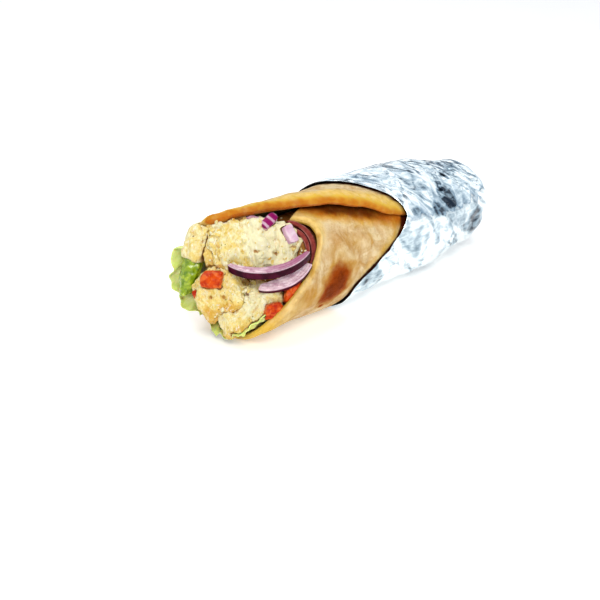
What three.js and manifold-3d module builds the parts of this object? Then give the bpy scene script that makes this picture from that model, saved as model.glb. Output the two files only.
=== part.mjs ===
// A kati roll: one pan-fried flatbread rolled round a filling, with its tail wrapped in foil.
// Units are millimetres and +Z is up. The roll lies along X, its open mouth toward -X.
// The origin is on the resting surface, under the middle of the length.
import * as THREE from "three";
import { mergeVertices } from "three/addons/utils/BufferGeometryUtils.js";
import Module from "manifold-3d";

// ---- Driving dimensions of the roll ----
const ROLL_RADIUS = 29; // outer radius with its foil
const STRAIGHT_END = 20; // the roll narrows from here toward its tail
const TAIL_END = 99; // end of the closed foil tail
const TAIL_RADIUS = 19; // radius that the narrowing aims at
const CAP_START = 79; // the tail rounds off from here
const AXIS_HEIGHT = 27.7; // so that the round underside is pressed flat a little
const MIDDLE_X = 2.35; // middle of the whole length, mouth to foil tail
const MIDDLE_Y = 0.45; // and of its width
const GAP = 0.4; // air between neighbouring pieces

// ---- The flatbread ----
const BREAD_THICKNESS = 2.6;
const LAYER_STEP = BREAD_THICKNESS + GAP; // the roll's spiral climbs this far in one turn
const BREAD_RADIUS = 27.9; // mean outer radius of the spiral
const BREAD_END = 78.5;
const RIM_X = -80; // mouth rim
const CUT_BACK = 39; // how far the rim falls back on the near upper side
const TIP_CURL = 5.5; // and comes forward again at its hidden corner
const LIP_BEAD = 2.2; // the flap's free edge is this much thicker
const LIP_LIFT = 3.2; // and stands this far off the layer below
const LIP_REACH = 26; // the lift eases out over this much of the flap
const RIM_CURL = 0.9; // the near rim turns out this far
const TONGUE_BEAD = 1.8; // the inner layer's corner at the mouth is rolled this much thicker
const FLAP = {
  tipX: -73.5, // the free edge lies highest here
  tipAngle: 97,
  tipRise: 20, // degrees that its corner climbs, from there to the rim
  foilX: 11, // the foil covers it from here
  foilAngle: 31,
  tailFall: 11, // degrees that it still falls under the foil
};
const TUCK = { angle: 434, rise: 31, length: 47 }; // the hidden inner edge, more than a turn on
const BREAD_GRID = { columns: 40, rows: 16 };
const CLEARANCE_GRID = { columns: 34, rows: 13 }; // coarser, for cutting the filling clear of it
const LIP_STEPS = [0, 0.7, 2.2, 5, 9]; // grid lines this far from the flap's edge
const RIM_STEPS = [0, 0.7, 2, 5];
const TUCK_STEPS = [0, 0.7, 2.2];

// ---- The foil ----
const FOIL_THICKNESS = 0.8;
const FOIL_RIM_X = -18; // mean place of its rim
const FOIL_RIM_LEAN = 6; // the rim reaches this much further forward underneath than on top
const FOIL_DIP = 28; // the rim's V falls back this far
const FOIL_DIP_ANGLE = 30; // degrees up from the near side
const FOIL_COLUMNS = 36;
const FOIL_ROWS = 21;
const FOIL_INSIDE_ROWS = 10;
const FOIL_CRUMPLE = 1.5;
const GATHER = { start: 66, end: 90, pleats: 9 }; // the tail is gathered into pleats

// ---- The filling ----
const CORE_RADIUS = 22.2;
const CORE_FRONT = -71;
const CORE_SHOULDER = -40; // it is full from here back
const CORE_END = 92;
const CORE_GRID = { columns: 18, stations: 12 };
const LEAF_THICKNESS = 0.8;
const LEAF_END = 60;
const LEAF_GAP = 0.8; // air between leaf and bread
const LEAF_GRID = { columns: 19, rows: 8 };
const CHUNK_CELLS = 5; // cells along each side of a chunk
const CHUNK_LUMP = 1.1;
const ARC_GRID = { columns: 14, rows: 2 };
const SLAB_GRID = { columns: 5, rows: 4 };
const MOUTH_TURN = 46; // degrees by which the mouth's pieces face the near side
const MOUTH_TILT = 24; // and upward

const DEGREE = Math.PI / 180;
const { sin, cos, sqrt, min, max, abs, exp, hypot } = Math;
const smooth = (x, from, to) => THREE.MathUtils.smoothstep(x, from, to);
const wrapDegrees = (angle) => THREE.MathUtils.euclideanModulo(angle, 360);

const wasm = await Module();
wasm.setup();

// ---- Solids and booleans ----

// A closed geometry as a solid, its faces turned outward.
function solid(geometry) {
  const bare = new THREE.BufferGeometry().setAttribute("position", geometry.getAttribute("position"));
  bare.setIndex(geometry.index);
  const merged = mergeVertices(bare, 1e-3);
  const triVerts = new Uint32Array(merged.index.array);
  const make = () => {
    const vertProperties = new Float32Array(merged.attributes.position.array);
    return new wasm.Manifold(new wasm.Mesh({ numProp: 3, vertProperties, triVerts }));
  };
  const made = make();
  if (made.volume() > 0) return made;
  triVerts.reverse();
  return make();
}

// What is left of a solid when others are cut away, without its loose scraps.
function cut(body, ...tools) {
  const rest = tools.reduce((left, tool) => left.subtract(tool), body);
  return rest.decompose().reduce((a, b) => (a.volume() > b.volume() ? a : b));
}

function geometryOf(body) {
  const { vertProperties, triVerts, numProp } = body.getMesh();
  const geometry = new THREE.BufferGeometry();
  const data = new THREE.InterleavedBuffer(new Float32Array(vertProperties), numProp);
  geometry.setAttribute("position", new THREE.InterleavedBufferAttribute(data, 3, 0));
  geometry.setIndex(new THREE.BufferAttribute(new Uint32Array(triVerts), 1));
  return geometry;
}

// A sheet: a plane of cells bent by place(target, u, v, side), with side +1 outside and -1 inside,
// closed along its border. Both faces are split along the same diagonals.
function sheet(place, columns, rows) {
  const plane = new THREE.PlaneGeometry(1, 1, columns, rows);
  const flat = plane.attributes.position;
  const count = flat.count;
  const positions = new Float32Array(count * 6);
  const point = new THREE.Vector3();
  for (let i = 0; i < count; i++) {
    for (const back of [0, 1]) {
      place(point, flat.getX(i) + 0.5, 0.5 - flat.getY(i), back ? -1 : 1);
      point.toArray(positions, 3 * (i + back * count));
    }
  }
  const faces = Array.from(plane.index.array);
  const index = [...faces];
  for (let i = 0; i < faces.length; i += 3) {
    index.push(faces[i + 2] + count, faces[i + 1] + count, faces[i] + count);
  }
  const at = (column, row) => row * (columns + 1) + column;
  const border = [];
  for (let i = 0; i < columns; i++) border.push(at(i, 0));
  for (let j = 0; j < rows; j++) border.push(at(columns, j));
  for (let i = columns; i > 0; i--) border.push(at(i, rows));
  for (let j = rows; j > 0; j--) border.push(at(0, j));
  border.forEach((a, k) => {
    const b = border[(k + 1) % border.length];
    index.push(a, b, a + count, b, b + count, a + count);
  });
  const geometry = new THREE.BufferGeometry();
  geometry.setAttribute("position", new THREE.BufferAttribute(positions, 3));
  geometry.setIndex(index);
  return geometry;
}

// Moves each vertex of a geometry with change(point, number).
function reshaped(geometry, change) {
  const position = geometry.attributes.position;
  const point = new THREE.Vector3();
  for (let i = 0; i < position.count; i++) {
    point.fromBufferAttribute(position, i);
    change(point, i);
    position.setXYZ(i, point.x, point.y, point.z);
  }
  return geometry;
}

// Where grid line number `index` lies along a length, with close lines near both ends.
function spread(index, count, nearStart, nearEnd, length, ease = 1) {
  if (index < nearStart.length) return nearStart[index];
  if (count - index < nearEnd.length) return length - nearEnd[count - index];
  const first = nearStart[nearStart.length - 1];
  const last = length - nearEnd[nearEnd.length - 1];
  const steps = count - nearStart.length - nearEnd.length + 2;
  return first + (last - first) * ((index - nearStart.length + 1) / steps) ** ease;
}

// ---- The roll's own form ----

// Fall of a round end to zero, from 1 at CAP_START.
const roundEnd = (x, end) => sqrt(max(0, 1 - (max(0, x - CAP_START) / (end - CAP_START)) ** 2));

function narrowing(x) {
  const along = THREE.MathUtils.clamp((x - STRAIGHT_END) / (TAIL_END - STRAIGHT_END), 0, 1);
  const capped = min(along, (CAP_START - STRAIGHT_END) / (TAIL_END - STRAIGHT_END));
  return (ROLL_RADIUS - TAIL_RADIUS) * capped ** 1.6;
}

const axisHeight = (x) => AXIS_HEIGHT - narrowing(x) * 0.5;

// Slow unevenness that every layer of the roll shares.
const sway = (x, angle) =>
  0.45 * sin(x * 0.07 + 2 * angle * DEGREE) +
  0.35 * sin(x * 0.11 - 3 * angle * DEGREE + 1.3);

// Angle of the flap's free edge, falling round the roll toward the tail like a helix.
function flapAngle(x) {
  const { tipX, tipAngle, tipRise, foilX, foilAngle, tailFall } = FLAP;
  if (x < tipX) return tipAngle + tipRise * min(1, (tipX - x) / (tipX - RIM_X)) ** 2;
  if (x < foilX) return tipAngle - (tipAngle - foilAngle) * ((x - tipX) / (foilX - tipX)) ** 1.12;
  return foilAngle - tailFall * (1 - exp((foilX - x) / 15));
}

// Angle, more than one turn on, of the sheet's hidden inner edge.
const tuckAngle = (x) => {
  const back = THREE.MathUtils.clamp(-x / TUCK.length, 0, 1);
  return TUCK.angle + TUCK.rise * (1 - back ** 1.5);
};

// Mouth rim along the unrolled sheet: cut back on the near upper side, with a curl at its tip.
const rimX = (turn) =>
  RIM_X + CUT_BACK * smooth(turn, 304, 410) - TIP_CURL * smooth(turn, 414, TUCK.angle);

// Height of the spiral over its mean radius.
const layerLift = (turn, x) => LAYER_STEP * (0.5 - (turn - flapAngle(x)) / 360);

const liftHere = (x) => LIP_LIFT * (0.75 + 0.25 * smooth(x, -60, -38)) * (1 - smooth(x, -8, 14));
const lipLift = (x, distance) => liftHere(x) * (1 - smooth(distance, 0, LIP_REACH));
const lipBead = (x, distance) =>
  LIP_BEAD * (1 - smooth(x, 2, 18)) * smooth(distance, -2, 2) * (1 - smooth(distance, 3, 10));

const tongueBead = (fromRim, turn) =>
  TONGUE_BEAD * (1 - smooth(fromRim, 2, 8)) * smooth(turn, 385, 420);

const rimCurl = (fromRim, turn) =>
  RIM_CURL * (1 - smooth(fromRim, 0, 5)) * smooth(turn, 350, 395) * (1 - smooth(turn, 425, TUCK.angle));

const arcLength = (degrees) => degrees * DEGREE * BREAD_RADIUS;
const breadRadius = (x, angle) => BREAD_RADIUS + sway(x, angle) - narrowing(x);

// Outermost bread surface at an angle, its step at the flap's edge eased for the foil.
function breadOutside(x, angle) {
  const past = wrapDegrees(angle - flapAngle(x));
  const easing = smooth(past, 330, 360);
  const turned = past * (1 - easing);
  const distance = arcLength(turned);
  const raised = lipLift(x, distance) + 0.4 * lipBead(x, max(3, distance));
  return breadRadius(x, angle) + LAYER_STEP * (0.5 - turned / 360) + raised;
}

function rollPoint(target, x, angle, radius) {
  return target.set(x, -radius * cos(angle * DEGREE), axisHeight(x) + radius * sin(angle * DEGREE));
}

// How high the bread's underside lies: on the floor in front, on the foil behind its rim.
const breadFloor = (x) => (FOIL_THICKNESS + GAP) * smooth(x, -42, -33);

// ---- The flatbread ----

const edgeRound = (distance, thickness) => {
  const inward = THREE.MathUtils.clamp(distance / (thickness / 2), 0, 1);
  return max(0.35, sqrt(1 - (1 - inward) ** 2));
};

function columnAngle(column, columns, x) {
  const start = flapAngle(x);
  const length = arcLength(tuckAngle(x) - start);
  return start + spread(column, columns, LIP_STEPS, TUCK_STEPS, length) / arcLength(1);
}

function rimOfColumn(column, columns) {
  let x = RIM_X;
  for (let i = 0; i < 40; i++) x = (x + rimX(columnAngle(column, columns, x))) / 2;
  return x;
}

// The sheet, its inner face, its outer face and its edges grown by so much.
function flatbread({ columns, rows }, inward = 0, outward = 0) {
  const clearance = max(inward, outward);
  const rims = Array.from({ length: columns + 1 }, (_, column) => rimOfColumn(column, columns));
  return sheet((target, u, v, side) => {
    const column = Math.round(u * columns);
    const row = Math.round(v * rows);
    const start = rims[column];
    const fromRim = spread(row, rows, RIM_STEPS, [0], BREAD_END - start, 1.5);
    const x = start + fromRim;
    const turn = columnAngle(column, columns, x);
    const fromFlap = arcLength(turn - flapAngle(x));
    const fromTuck = arcLength(tuckAngle(x) - turn);
    const grownTurn = turn + ((column === columns) - (column === 0)) * (clearance / arcLength(1));
    const bead = lipBead(x, fromFlap) + tongueBead(fromRim, turn);
    const full = BREAD_THICKNESS + bead;
    const edge = min(fromRim, fromFlap, fromTuck);
    const thick = full * edgeRound(edge, full);
    const outside =
      breadRadius(x, turn) + layerLift(turn, x) + lipLift(x, fromFlap) + bead * 0.4 + rimCurl(fromRim, turn);
    const inset = side > 0 ? (full - thick) / 2 - outward : (full + thick) / 2 + inward;
    const grownX = fromRim < 0.01 ? x - clearance : x;
    rollPoint(target, grownX, grownTurn, outside - inset);
    const lowest = breadFloor(x) + (side > 0 ? -outward : thick + inward);
    target.z = max(target.z, lowest);
  }, columns, rows);
}

// ---- The foil ----

// Where the foil starts at an angle: its rim dips in a V on the near side.
function foilRim(angle) {
  const off = wrapDegrees(angle - FOIL_DIP_ANGLE + 180) - 180;
  const [reach, power] = off < 0 ? [60, 0.8] : [80, 1.2];
  const dip = max(0, 0.5 + 0.5 * cos(180 * DEGREE * min(1, abs(off) / reach))) ** power;
  return FOIL_RIM_X + FOIL_RIM_LEAN * sin(angle * DEGREE) + FOIL_DIP * dip;
}

// Crumples of pressed foil: sharp ridges that cross, always outward and none underneath.
function crumple(x, angle) {
  const a = angle * DEGREE;
  const ridge = (value) => 1 - abs(sin(value));
  const folds =
    0.5 * ridge(x * 0.19 + 2 * a + 1.5 * sin(3 * a)) +
    0.3 * ridge(x * 0.33 - 4 * a + sin(x * 0.1)) +
    0.2 * ridge(7 * a + x * 0.12);
  const pleats = 0.5 + 0.5 * sin(GATHER.pleats * a + 2 * sin(2 * a));
  const gather = smooth(x, GATHER.start, GATHER.end);
  const underneath = smooth(hypot(cos(a), 1 + sin(a)), 0.3, 0.75);
  return FOIL_CRUMPLE * (folds * (1 - 0.5 * gather) + 0.9 * pleats * gather) * underneath;
}

function foilWrap() {
  const rows = FOIL_ROWS + FOIL_INSIDE_ROWS;
  const profile = [new THREE.Vector2(0, TAIL_END)];
  for (let j = 1; j <= rows; j++) profile.push(new THREE.Vector2(10, TAIL_END - j));
  profile.push(new THREE.Vector2(0, TAIL_END - 1));
  const stations = profile.length;
  const lathe = new THREE.LatheGeometry(profile, FOIL_COLUMNS);
  return reshaped(lathe, (point, number) => {
    const column = Math.floor(number / stations) % FOIL_COLUMNS;
    const station = number % stations;
    const angle = 270 + (column + 0.5) * (360 / FOIL_COLUMNS);
    const outside = station <= FOIL_ROWS;
    const end = outside ? TAIL_END : TAIL_END - 1;
    const share = outside ? station / FOIL_ROWS : (rows + 1 - station) / (rows - FOIL_ROWS);
    const back = 1 - share;
    const rim = foilRim(angle);
    const x = end - (end - rim) * (1 - 0.45 * back - 0.55 * sin(back * 90 * DEGREE));
    if (share === 0) return rollPoint(point, end, angle, 0);
    const before = min(x, CAP_START);
    const inner = breadOutside(before, angle) + GAP;
    const flatRadius = outside ? inner + FOIL_THICKNESS + crumple(x, angle) : inner;
    rollPoint(point, x, angle, flatRadius * roundEnd(x, end));
    point.z = max(point.z, outside ? 0 : FOIL_THICKNESS);
    return point;
  });
}

// ---- Lettuce ----

// A leaf that lines the bread between two angles. Its ruffled front edge stands out of the mouth.
function lettuce({ from, to, overhang, ruffle, waves, flare }, grow = 0) {
  return sheet((target, u, v, side) => {
    const angle = from + (to - from) * u;
    const sideFade = sin(180 * DEGREE * THREE.MathUtils.clamp(u, 0.04, 0.96)) ** 0.4;
    const rim = rimX(angle);
    const front = rim - overhang * sideFade - grow;
    const x = front + (LEAF_END - front) * v ** 2.2;
    const ahead = 1 - smooth(x, rim - 6, rim + 14);
    const beyond = 1 - smooth(x, rim - 8, rim - 1.2);
    const within = 1 - beyond;
    const inside = breadRadius(x, angle) + layerLift(angle, x) - BREAD_THICKNESS;
    const wave = ruffle * ahead * sin(waves * u * 360 * DEGREE + x * 0.12);
    const half = LEAF_THICKNESS / 2 + grow;
    const settled = LEAF_GAP + LEAF_THICKNESS / 2 + (abs(wave) + ruffle * 0.3 * ahead) * within;
    rollPoint(target, x, angle, inside - settled + beyond * (flare + wave) + side * half);
    const lowest = GAP + within * (BREAD_THICKNESS + GAP + breadFloor(x));
    target.z = max(target.z, lowest + (side > 0 ? 0 : 2 * half));
  }, LEAF_GRID.columns, LEAF_GRID.rows);
}

const LEAVES = {
  lettuce_far: { from: 130, to: 233, overhang: 11, ruffle: 1.7, waves: 3.5, flare: 1.5 },
  lettuce_low: { from: 237, to: 336, overhang: 6, ruffle: 1.3, waves: 4, flare: 0.5 },
};

// ---- Pieces at the mouth ----
// They lie in a frame that looks out of the mouth, toward the near side and a little up:
// its X runs right across the opening, its Y up, and its Z out of the mouth.
const facing = new THREE.Matrix4().makeRotationFromEuler(
  new THREE.Euler((90 - MOUTH_TILT) * DEGREE, 0, -MOUTH_TURN * DEGREE, "ZYX"),
);
facing.setPosition(0, 0, AXIS_HEIGHT + 0.5);

function placed(geometry, at, turn, order = "XYZ") {
  const rotation = new THREE.Euler(turn[0] * DEGREE, turn[1] * DEGREE, turn[2] * DEGREE, order);
  const own = new THREE.Matrix4().makeRotationFromEuler(rotation).setPosition(...at);
  return geometry.applyMatrix4(own).applyMatrix4(facing);
}

// Lumps of torn meat, the same whatever size the chunk is grown to.
const lumps = (q, seed) =>
  0.6 * sin(2.9 * q.x + seed) * sin(2.3 * q.y + 2.1 * seed) +
  0.5 * sin(4.7 * q.y - seed) * sin(4.1 * q.z + 1.3 * seed) +
  0.4 * sin(6.1 * q.z + 3 * seed) * sin(5.3 * q.x - seed);

// A torn chunk of cooked chicken: a block with rounded corners and a lumpy surface.
function chunk({ at, half, turn, square, seed }, grow = 0) {
  const box = new THREE.BoxGeometry(2, 2, 2, CHUNK_CELLS, CHUNK_CELLS, CHUNK_CELLS);
  const size = new THREE.Vector3(...half).addScalar(grow);
  const ball = new THREE.Vector3();
  const block = reshaped(box, (point) => {
    const bump = 1 + (CHUNK_LUMP * lumps(point, seed)) / size.length();
    ball.copy(point).normalize();
    point.lerpVectors(ball, point, square).multiply(size).multiplyScalar(bump);
  });
  return placed(block, at, turn);
}

// A slice of onion ring: an arc whose flesh is `width` deep from skin to hollow side.
function onionArc({ at, turn, radius, width, height, from, to }, grow = 0) {
  const arc = sheet((target, u, v, side) => {
    const angle = (from + (to - from) * u) * DEGREE + ((u - 0.5) * 2 * grow) / radius;
    const taper = 0.45 + 0.55 * sin(180 * DEGREE * u) ** 0.7;
    const out = radius + grow - (width * taper + 2 * grow) * v;
    target.set(out * cos(angle), out * sin(angle), side * (height / 2 + grow));
  }, ARC_GRID.columns, ARC_GRID.rows);
  return placed(arc, at, turn, "ZYX");
}

// A bent slab: a diced or sliced piece of pepper or onion.
function slab({ at, turn, width, height, depth, bend, lean = 0, point = 0, pinch = 0.1 }, grow = 0) {
  const piece = sheet((target, u, v, side) => {
    const across = 2 * u - 1;
    const along = 2 * v - 1;
    const narrow = (1 - (point * (1 + along)) / 2) * (1 - pinch * along * along);
    const x = across * (width / 2) * narrow + across * grow + lean * along;
    const y = -along * (height / 2) * (1 - pinch * across * across) - along * grow;
    const acrossReach = across * (1 + (2 * grow) / width);
    const alongReach = along * (1 + (2 * grow) / height);
    const z = bend * (1 - acrossReach ** 2) + 0.4 * bend * (1 - alongReach ** 2);
    target.set(x, y, z + side * (depth / 2 + grow));
  }, SLAB_GRID.columns, SLAB_GRID.rows);
  return placed(piece, at, turn);
}

const CHICKEN = {
  chicken_upper_left: {
    at: [-50.6, -6.2, 49], turn: [4, -6, 5], half: [12.4, 11.4, 11], square: 0.6, seed: 1.7,
  },
  chicken_upper_right: {
    at: [-35.2, -6.4, 47.5], turn: [0, 12, -12], half: [10.8, 10.8, 11], square: 0.55, seed: 4.2,
  },
  chicken_back: {
    at: [-69.2, -5.4, 48.5], turn: [0, -18, -18], half: [5.4, 9.4, 6], square: 0.5, seed: 2.9,
  },
  chicken_sliver: {
    at: [-62.4, -7, 49], turn: [0, 0, 4], half: [4.6, 10.8, 6], square: 0.5, seed: 5.3,
  },
  chicken_lower_left: {
    at: [-58.4, -28, 48.5], turn: [0, -8, 24], half: [11.6, 11.8, 10.5], square: 0.45, seed: 3.4,
  },
  chicken_lower_right: {
    at: [-45.4, -36, 46], turn: [8, 12, 8], half: [14.8, 12, 11], square: 0.5, seed: 6.1,
  },
};

const ONION = {
  onion_long: {
    at: [-39, -6.4, 50], turn: [-50, 8, 11], radius: 22.8, width: 4.4, height: 3.4, from: -149, to: -36,
  },
  onion_short: {
    at: [-36, -10.4, 48.4], turn: [-30, 10, 25], radius: 20.4, width: 6, height: 2.8, from: -132, to: -48,
  },
  onion_ring_outer: {
    at: [-28, -8, 46], turn: [-10, 20, 0], radius: 12.8, width: 2.6, height: 5, from: -38, to: 92,
  },
  onion_ring_inner: {
    at: [-28, -8, 45.4], turn: [-10, 20, 0], radius: 9.7, width: 2.4, height: 5, from: -34, to: 84,
  },
};

const SLABS = {
  onion_dice: {
    at: [-37, 3.6, 57], turn: [-30, 14, -38], width: 4.6, height: 9.4, depth: 3, bend: 0.4,
  },
  onion_block: {
    at: [-27.2, -2, 56.8], turn: [-18, 24, 26], width: 4.8, height: 8.4, depth: 3, bend: 0.3,
  },
  onion_scrap: {
    at: [-44.7, 5.4, 51], turn: [-35, 0, 70], width: 3, height: 6.5, depth: 2.2, bend: 0.5,
  },
  pepper_left: {
    at: [-62.2, -22.6, 58.2], turn: [-10, -12, 76], width: 8, height: 9.4, depth: 3.6, bend: 1.6, lean: 0.8,
  },
  pepper_corner: {
    at: [-69, -29.8, 49.5], turn: [0, -20, 30], width: 4.6, height: 6.4, depth: 3, bend: 0.6,
  },
  pepper_right: {
    at: [-26.4, -28, 52.6], turn: [6, 24, -24], width: 7.2, height: 12, depth: 3.4, bend: 1, lean: 1,
  },
  pepper_low: {
    at: [-34.4, -36.2, 56], turn: [10, 20, 10], width: 6.8, height: 6.8, depth: 3.4, bend: 0.5, point: -0.7,
  },
  pepper_green: {
    at: [-73.2, -20.6, 46], turn: [0, -26, -6], width: 11, height: 18.4, depth: 3.6, bend: 2.4, lean: -1.2,
    point: 0.4, pinch: 0.16,
  },
};

// ---- The filling that runs through the roll ----
function fillingCore() {
  const { columns, stations } = CORE_GRID;
  const profile = [];
  for (let j = 0; j <= stations; j++) {
    const share = j / stations;
    profile.push(new THREE.Vector2(j % stations ? 10 : 0, share));
  }
  const lathe = new THREE.LatheGeometry(profile, columns);
  return reshaped(lathe, (point, number) => {
    const angle = (Math.floor(number / profile.length) % columns) * (360 / columns);
    const share = (number % profile.length) / stations;
    const x = CORE_FRONT + (CORE_END - CORE_FRONT) * (0.5 - 0.5 * cos(180 * DEGREE * share));
    const ahead = max(0, CORE_SHOULDER - x) / (CORE_SHOULDER - CORE_FRONT);
    const cap = sqrt(max(0, 1 - ahead ** 2.4)) * roundEnd(x, CORE_END);
    const a = angle * DEGREE;
    const bump = 1 - 0.04 * abs(sin(x * 0.35 + 3 * a)) - 0.03 * abs(sin(5 * a + x * 0.2));
    const radius = (CORE_RADIUS - narrowing(x)) * cap * bump;
    rollPoint(point, x, angle, radius);
  });
}

// ---- Assembly ----
const FINISHES = {
  bread: { color: 0xe0b878, roughness: 0.6, metalness: 0 },
  foil: { color: 0xd8dde2, roughness: 0.28, metalness: 1 },
  chicken: { color: 0xe9dca4, roughness: 0.65, metalness: 0 },
  onion: { color: 0xb35f92, roughness: 0.35, metalness: 0 },
  pepper: { color: 0xe23a0c, roughness: 0.3, metalness: 0 },
  greens: { color: 0x8fb830, roughness: 0.35, metalness: 0 },
  lettuce: { color: 0xc8dd86, roughness: 0.45, metalness: 0 },
};

const roll = new THREE.Group();
roll.position.set(-MIDDLE_X, -MIDDLE_Y, 0);

function add(name, finish, body) {
  const mesh = new THREE.Mesh(geometryOf(body), new THREE.MeshStandardMaterial(FINISHES[finish]));
  mesh.name = name;
  roll.add(mesh);
}

// What the pieces must stay clear of, in the order in which they keep their whole form.
const walls = [solid(flatbread(CLEARANCE_GRID, GAP)), solid(flatbread(CLEARANCE_GRID, 0, GAP))];
add("flatbread", "bread", solid(flatbread(BREAD_GRID)));
add("foil_wrap", "foil", solid(foilWrap()));

for (const [name, leaf] of Object.entries(LEAVES)) {
  add(name, "lettuce", solid(lettuce(leaf)));
  walls.push(solid(lettuce(leaf, GAP)));
}

const taken = [...walls];
function addPieces(pieces, make, finishOf) {
  for (const [name, piece] of Object.entries(pieces)) {
    add(name, finishOf(name), cut(solid(make(piece)), ...taken));
    taken.push(solid(make(piece, GAP)));
  }
}

addPieces(SLABS, slab, (name) => {
  if (name === "pepper_green") return "greens";
  return name.startsWith("pepper") ? "pepper" : "onion";
});
const { onion_long, onion_short, ...rings } = ONION;
addPieces({ onion_long, onion_short }, onionArc, () => "onion");
addPieces(CHICKEN, chunk, () => "chicken");
addPieces(rings, onionArc, () => "onion");
add("filling_core", "chicken", cut(solid(fillingCore()), ...taken));

const scene = new THREE.Group();
scene.add(roll);

export default scene;
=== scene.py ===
"""Looks of one kati roll: a pan-fried flatbread round chicken, onion, peppers and lettuce, in foil.

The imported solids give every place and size. Each sub-assembly below is a class that builds finer
meshes over its solids and dresses them with a finish. Lengths are millimetres in the roll's own
frame, whose x runs from the mouth to the foil tail, until a mesh is made, which is in metres.
"""

import itertools
import logging
import math
from collections.abc import Iterator
from dataclasses import dataclass, field
from enum import Enum
from functools import partial

import bmesh
import bpy
import numpy as np
from mathutils import Matrix, Vector
from mathutils.bvhtree import BVHTree


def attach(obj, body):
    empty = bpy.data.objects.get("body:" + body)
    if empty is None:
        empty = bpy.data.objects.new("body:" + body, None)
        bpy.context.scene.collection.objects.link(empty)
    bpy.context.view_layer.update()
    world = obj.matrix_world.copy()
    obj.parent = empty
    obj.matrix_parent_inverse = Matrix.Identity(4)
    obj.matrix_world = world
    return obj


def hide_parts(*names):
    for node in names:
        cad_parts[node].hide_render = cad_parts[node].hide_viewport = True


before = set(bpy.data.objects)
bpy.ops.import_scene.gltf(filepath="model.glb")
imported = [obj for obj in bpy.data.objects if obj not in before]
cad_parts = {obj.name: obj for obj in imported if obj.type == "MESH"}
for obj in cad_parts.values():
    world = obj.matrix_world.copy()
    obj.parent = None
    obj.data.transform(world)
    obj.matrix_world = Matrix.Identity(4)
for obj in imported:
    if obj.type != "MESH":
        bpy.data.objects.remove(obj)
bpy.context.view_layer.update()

Array = np.ndarray
Socket = bpy.types.NodeSocket
Piece = bpy.types.Object

LOG = logging.getLogger("kati_roll")
METRES = 0.001  # one millimetre
ROLL_ORIGIN = np.array([2.35, 0.45, 0.0])  # the part's origin in the roll's own frame
SEEN_TO = 0.0  # how far along the roll the pieces in its mouth can be seen
LINING_SEEN_TO = -10.0  # the same for the leaves and the core
TABLE = 256  # how many numbers a noise shuffles
WAVES_START, PITS_START, CHIPS_START, FACET_START = 37.3, 53.1, 71.7, 64  # shifts, in lattice cells
WAVES_GAIN = 1.6
PITS_SHUFFLE = 91
CHIP_SLANT, CHIP_STEP = 1.5, 0.7
FACET_COLUMNS, FACET_JITTER = 257, 0.38
ON_EDGE = 1e-9  # how far outside a triangle still counts as on its edge
GOLDEN_TURN = math.pi * (3 - math.sqrt(5))  # spreads rays evenly


# ---- Small helpers ----


def smooth(value: Array, start: float, end: float) -> Array:
    """Eases from 0 at start to 1 at end.

    Args:
        value: numbers to ease.
        start: where the rise begins.
        end: where it is complete.

    Returns:
        The eased shares, from 0 to 1.
    """
    share = np.clip((np.asarray(value, float) - start) / (end - start), 0, 1)
    return share * share * (3 - 2 * share)


def fall(value: Array, start: float, end: float) -> Array:
    """Eases from 1 at start to 0 at end."""
    return 1 - smooth(value, start, end)


def radians(degrees: Array) -> Array:
    """Degrees as radians."""
    return np.asarray(degrees, float) * (math.pi / 180)


def turning(turn: tuple[float, float, float], spun: bool = False) -> Array:
    """Rotation matrix of three angles.

    Args:
        turn: degrees about x, y and z.
        spun: whether z turns last, seen from outside, and not first.

    Returns:
        The matrix, three rows of three.
    """
    around_x, around_y, around_z = (Matrix.Rotation(math.radians(a), 3, k) for a, k in zip(turn, "XYZ"))
    return np.array(around_z @ around_y @ around_x if spun else around_x @ around_y @ around_z)


@dataclass(frozen=True)
class Tint:
    """A colour as it is seen, in display steps from 0 to 255."""

    red: float
    green: float
    blue: float

    def linear(self) -> tuple[float, float, float, float]:
        """The colour as light for a shader, with full cover.

        Returns:
            Red, green, blue and 1.
        """
        steps = np.array([self.red, self.green, self.blue]) / 255
        light = np.where(steps <= 0.04045, steps / 12.92, ((steps + 0.055) / 1.055) ** 2.4)
        return (*(float(part) for part in light), 1.0)


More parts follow.
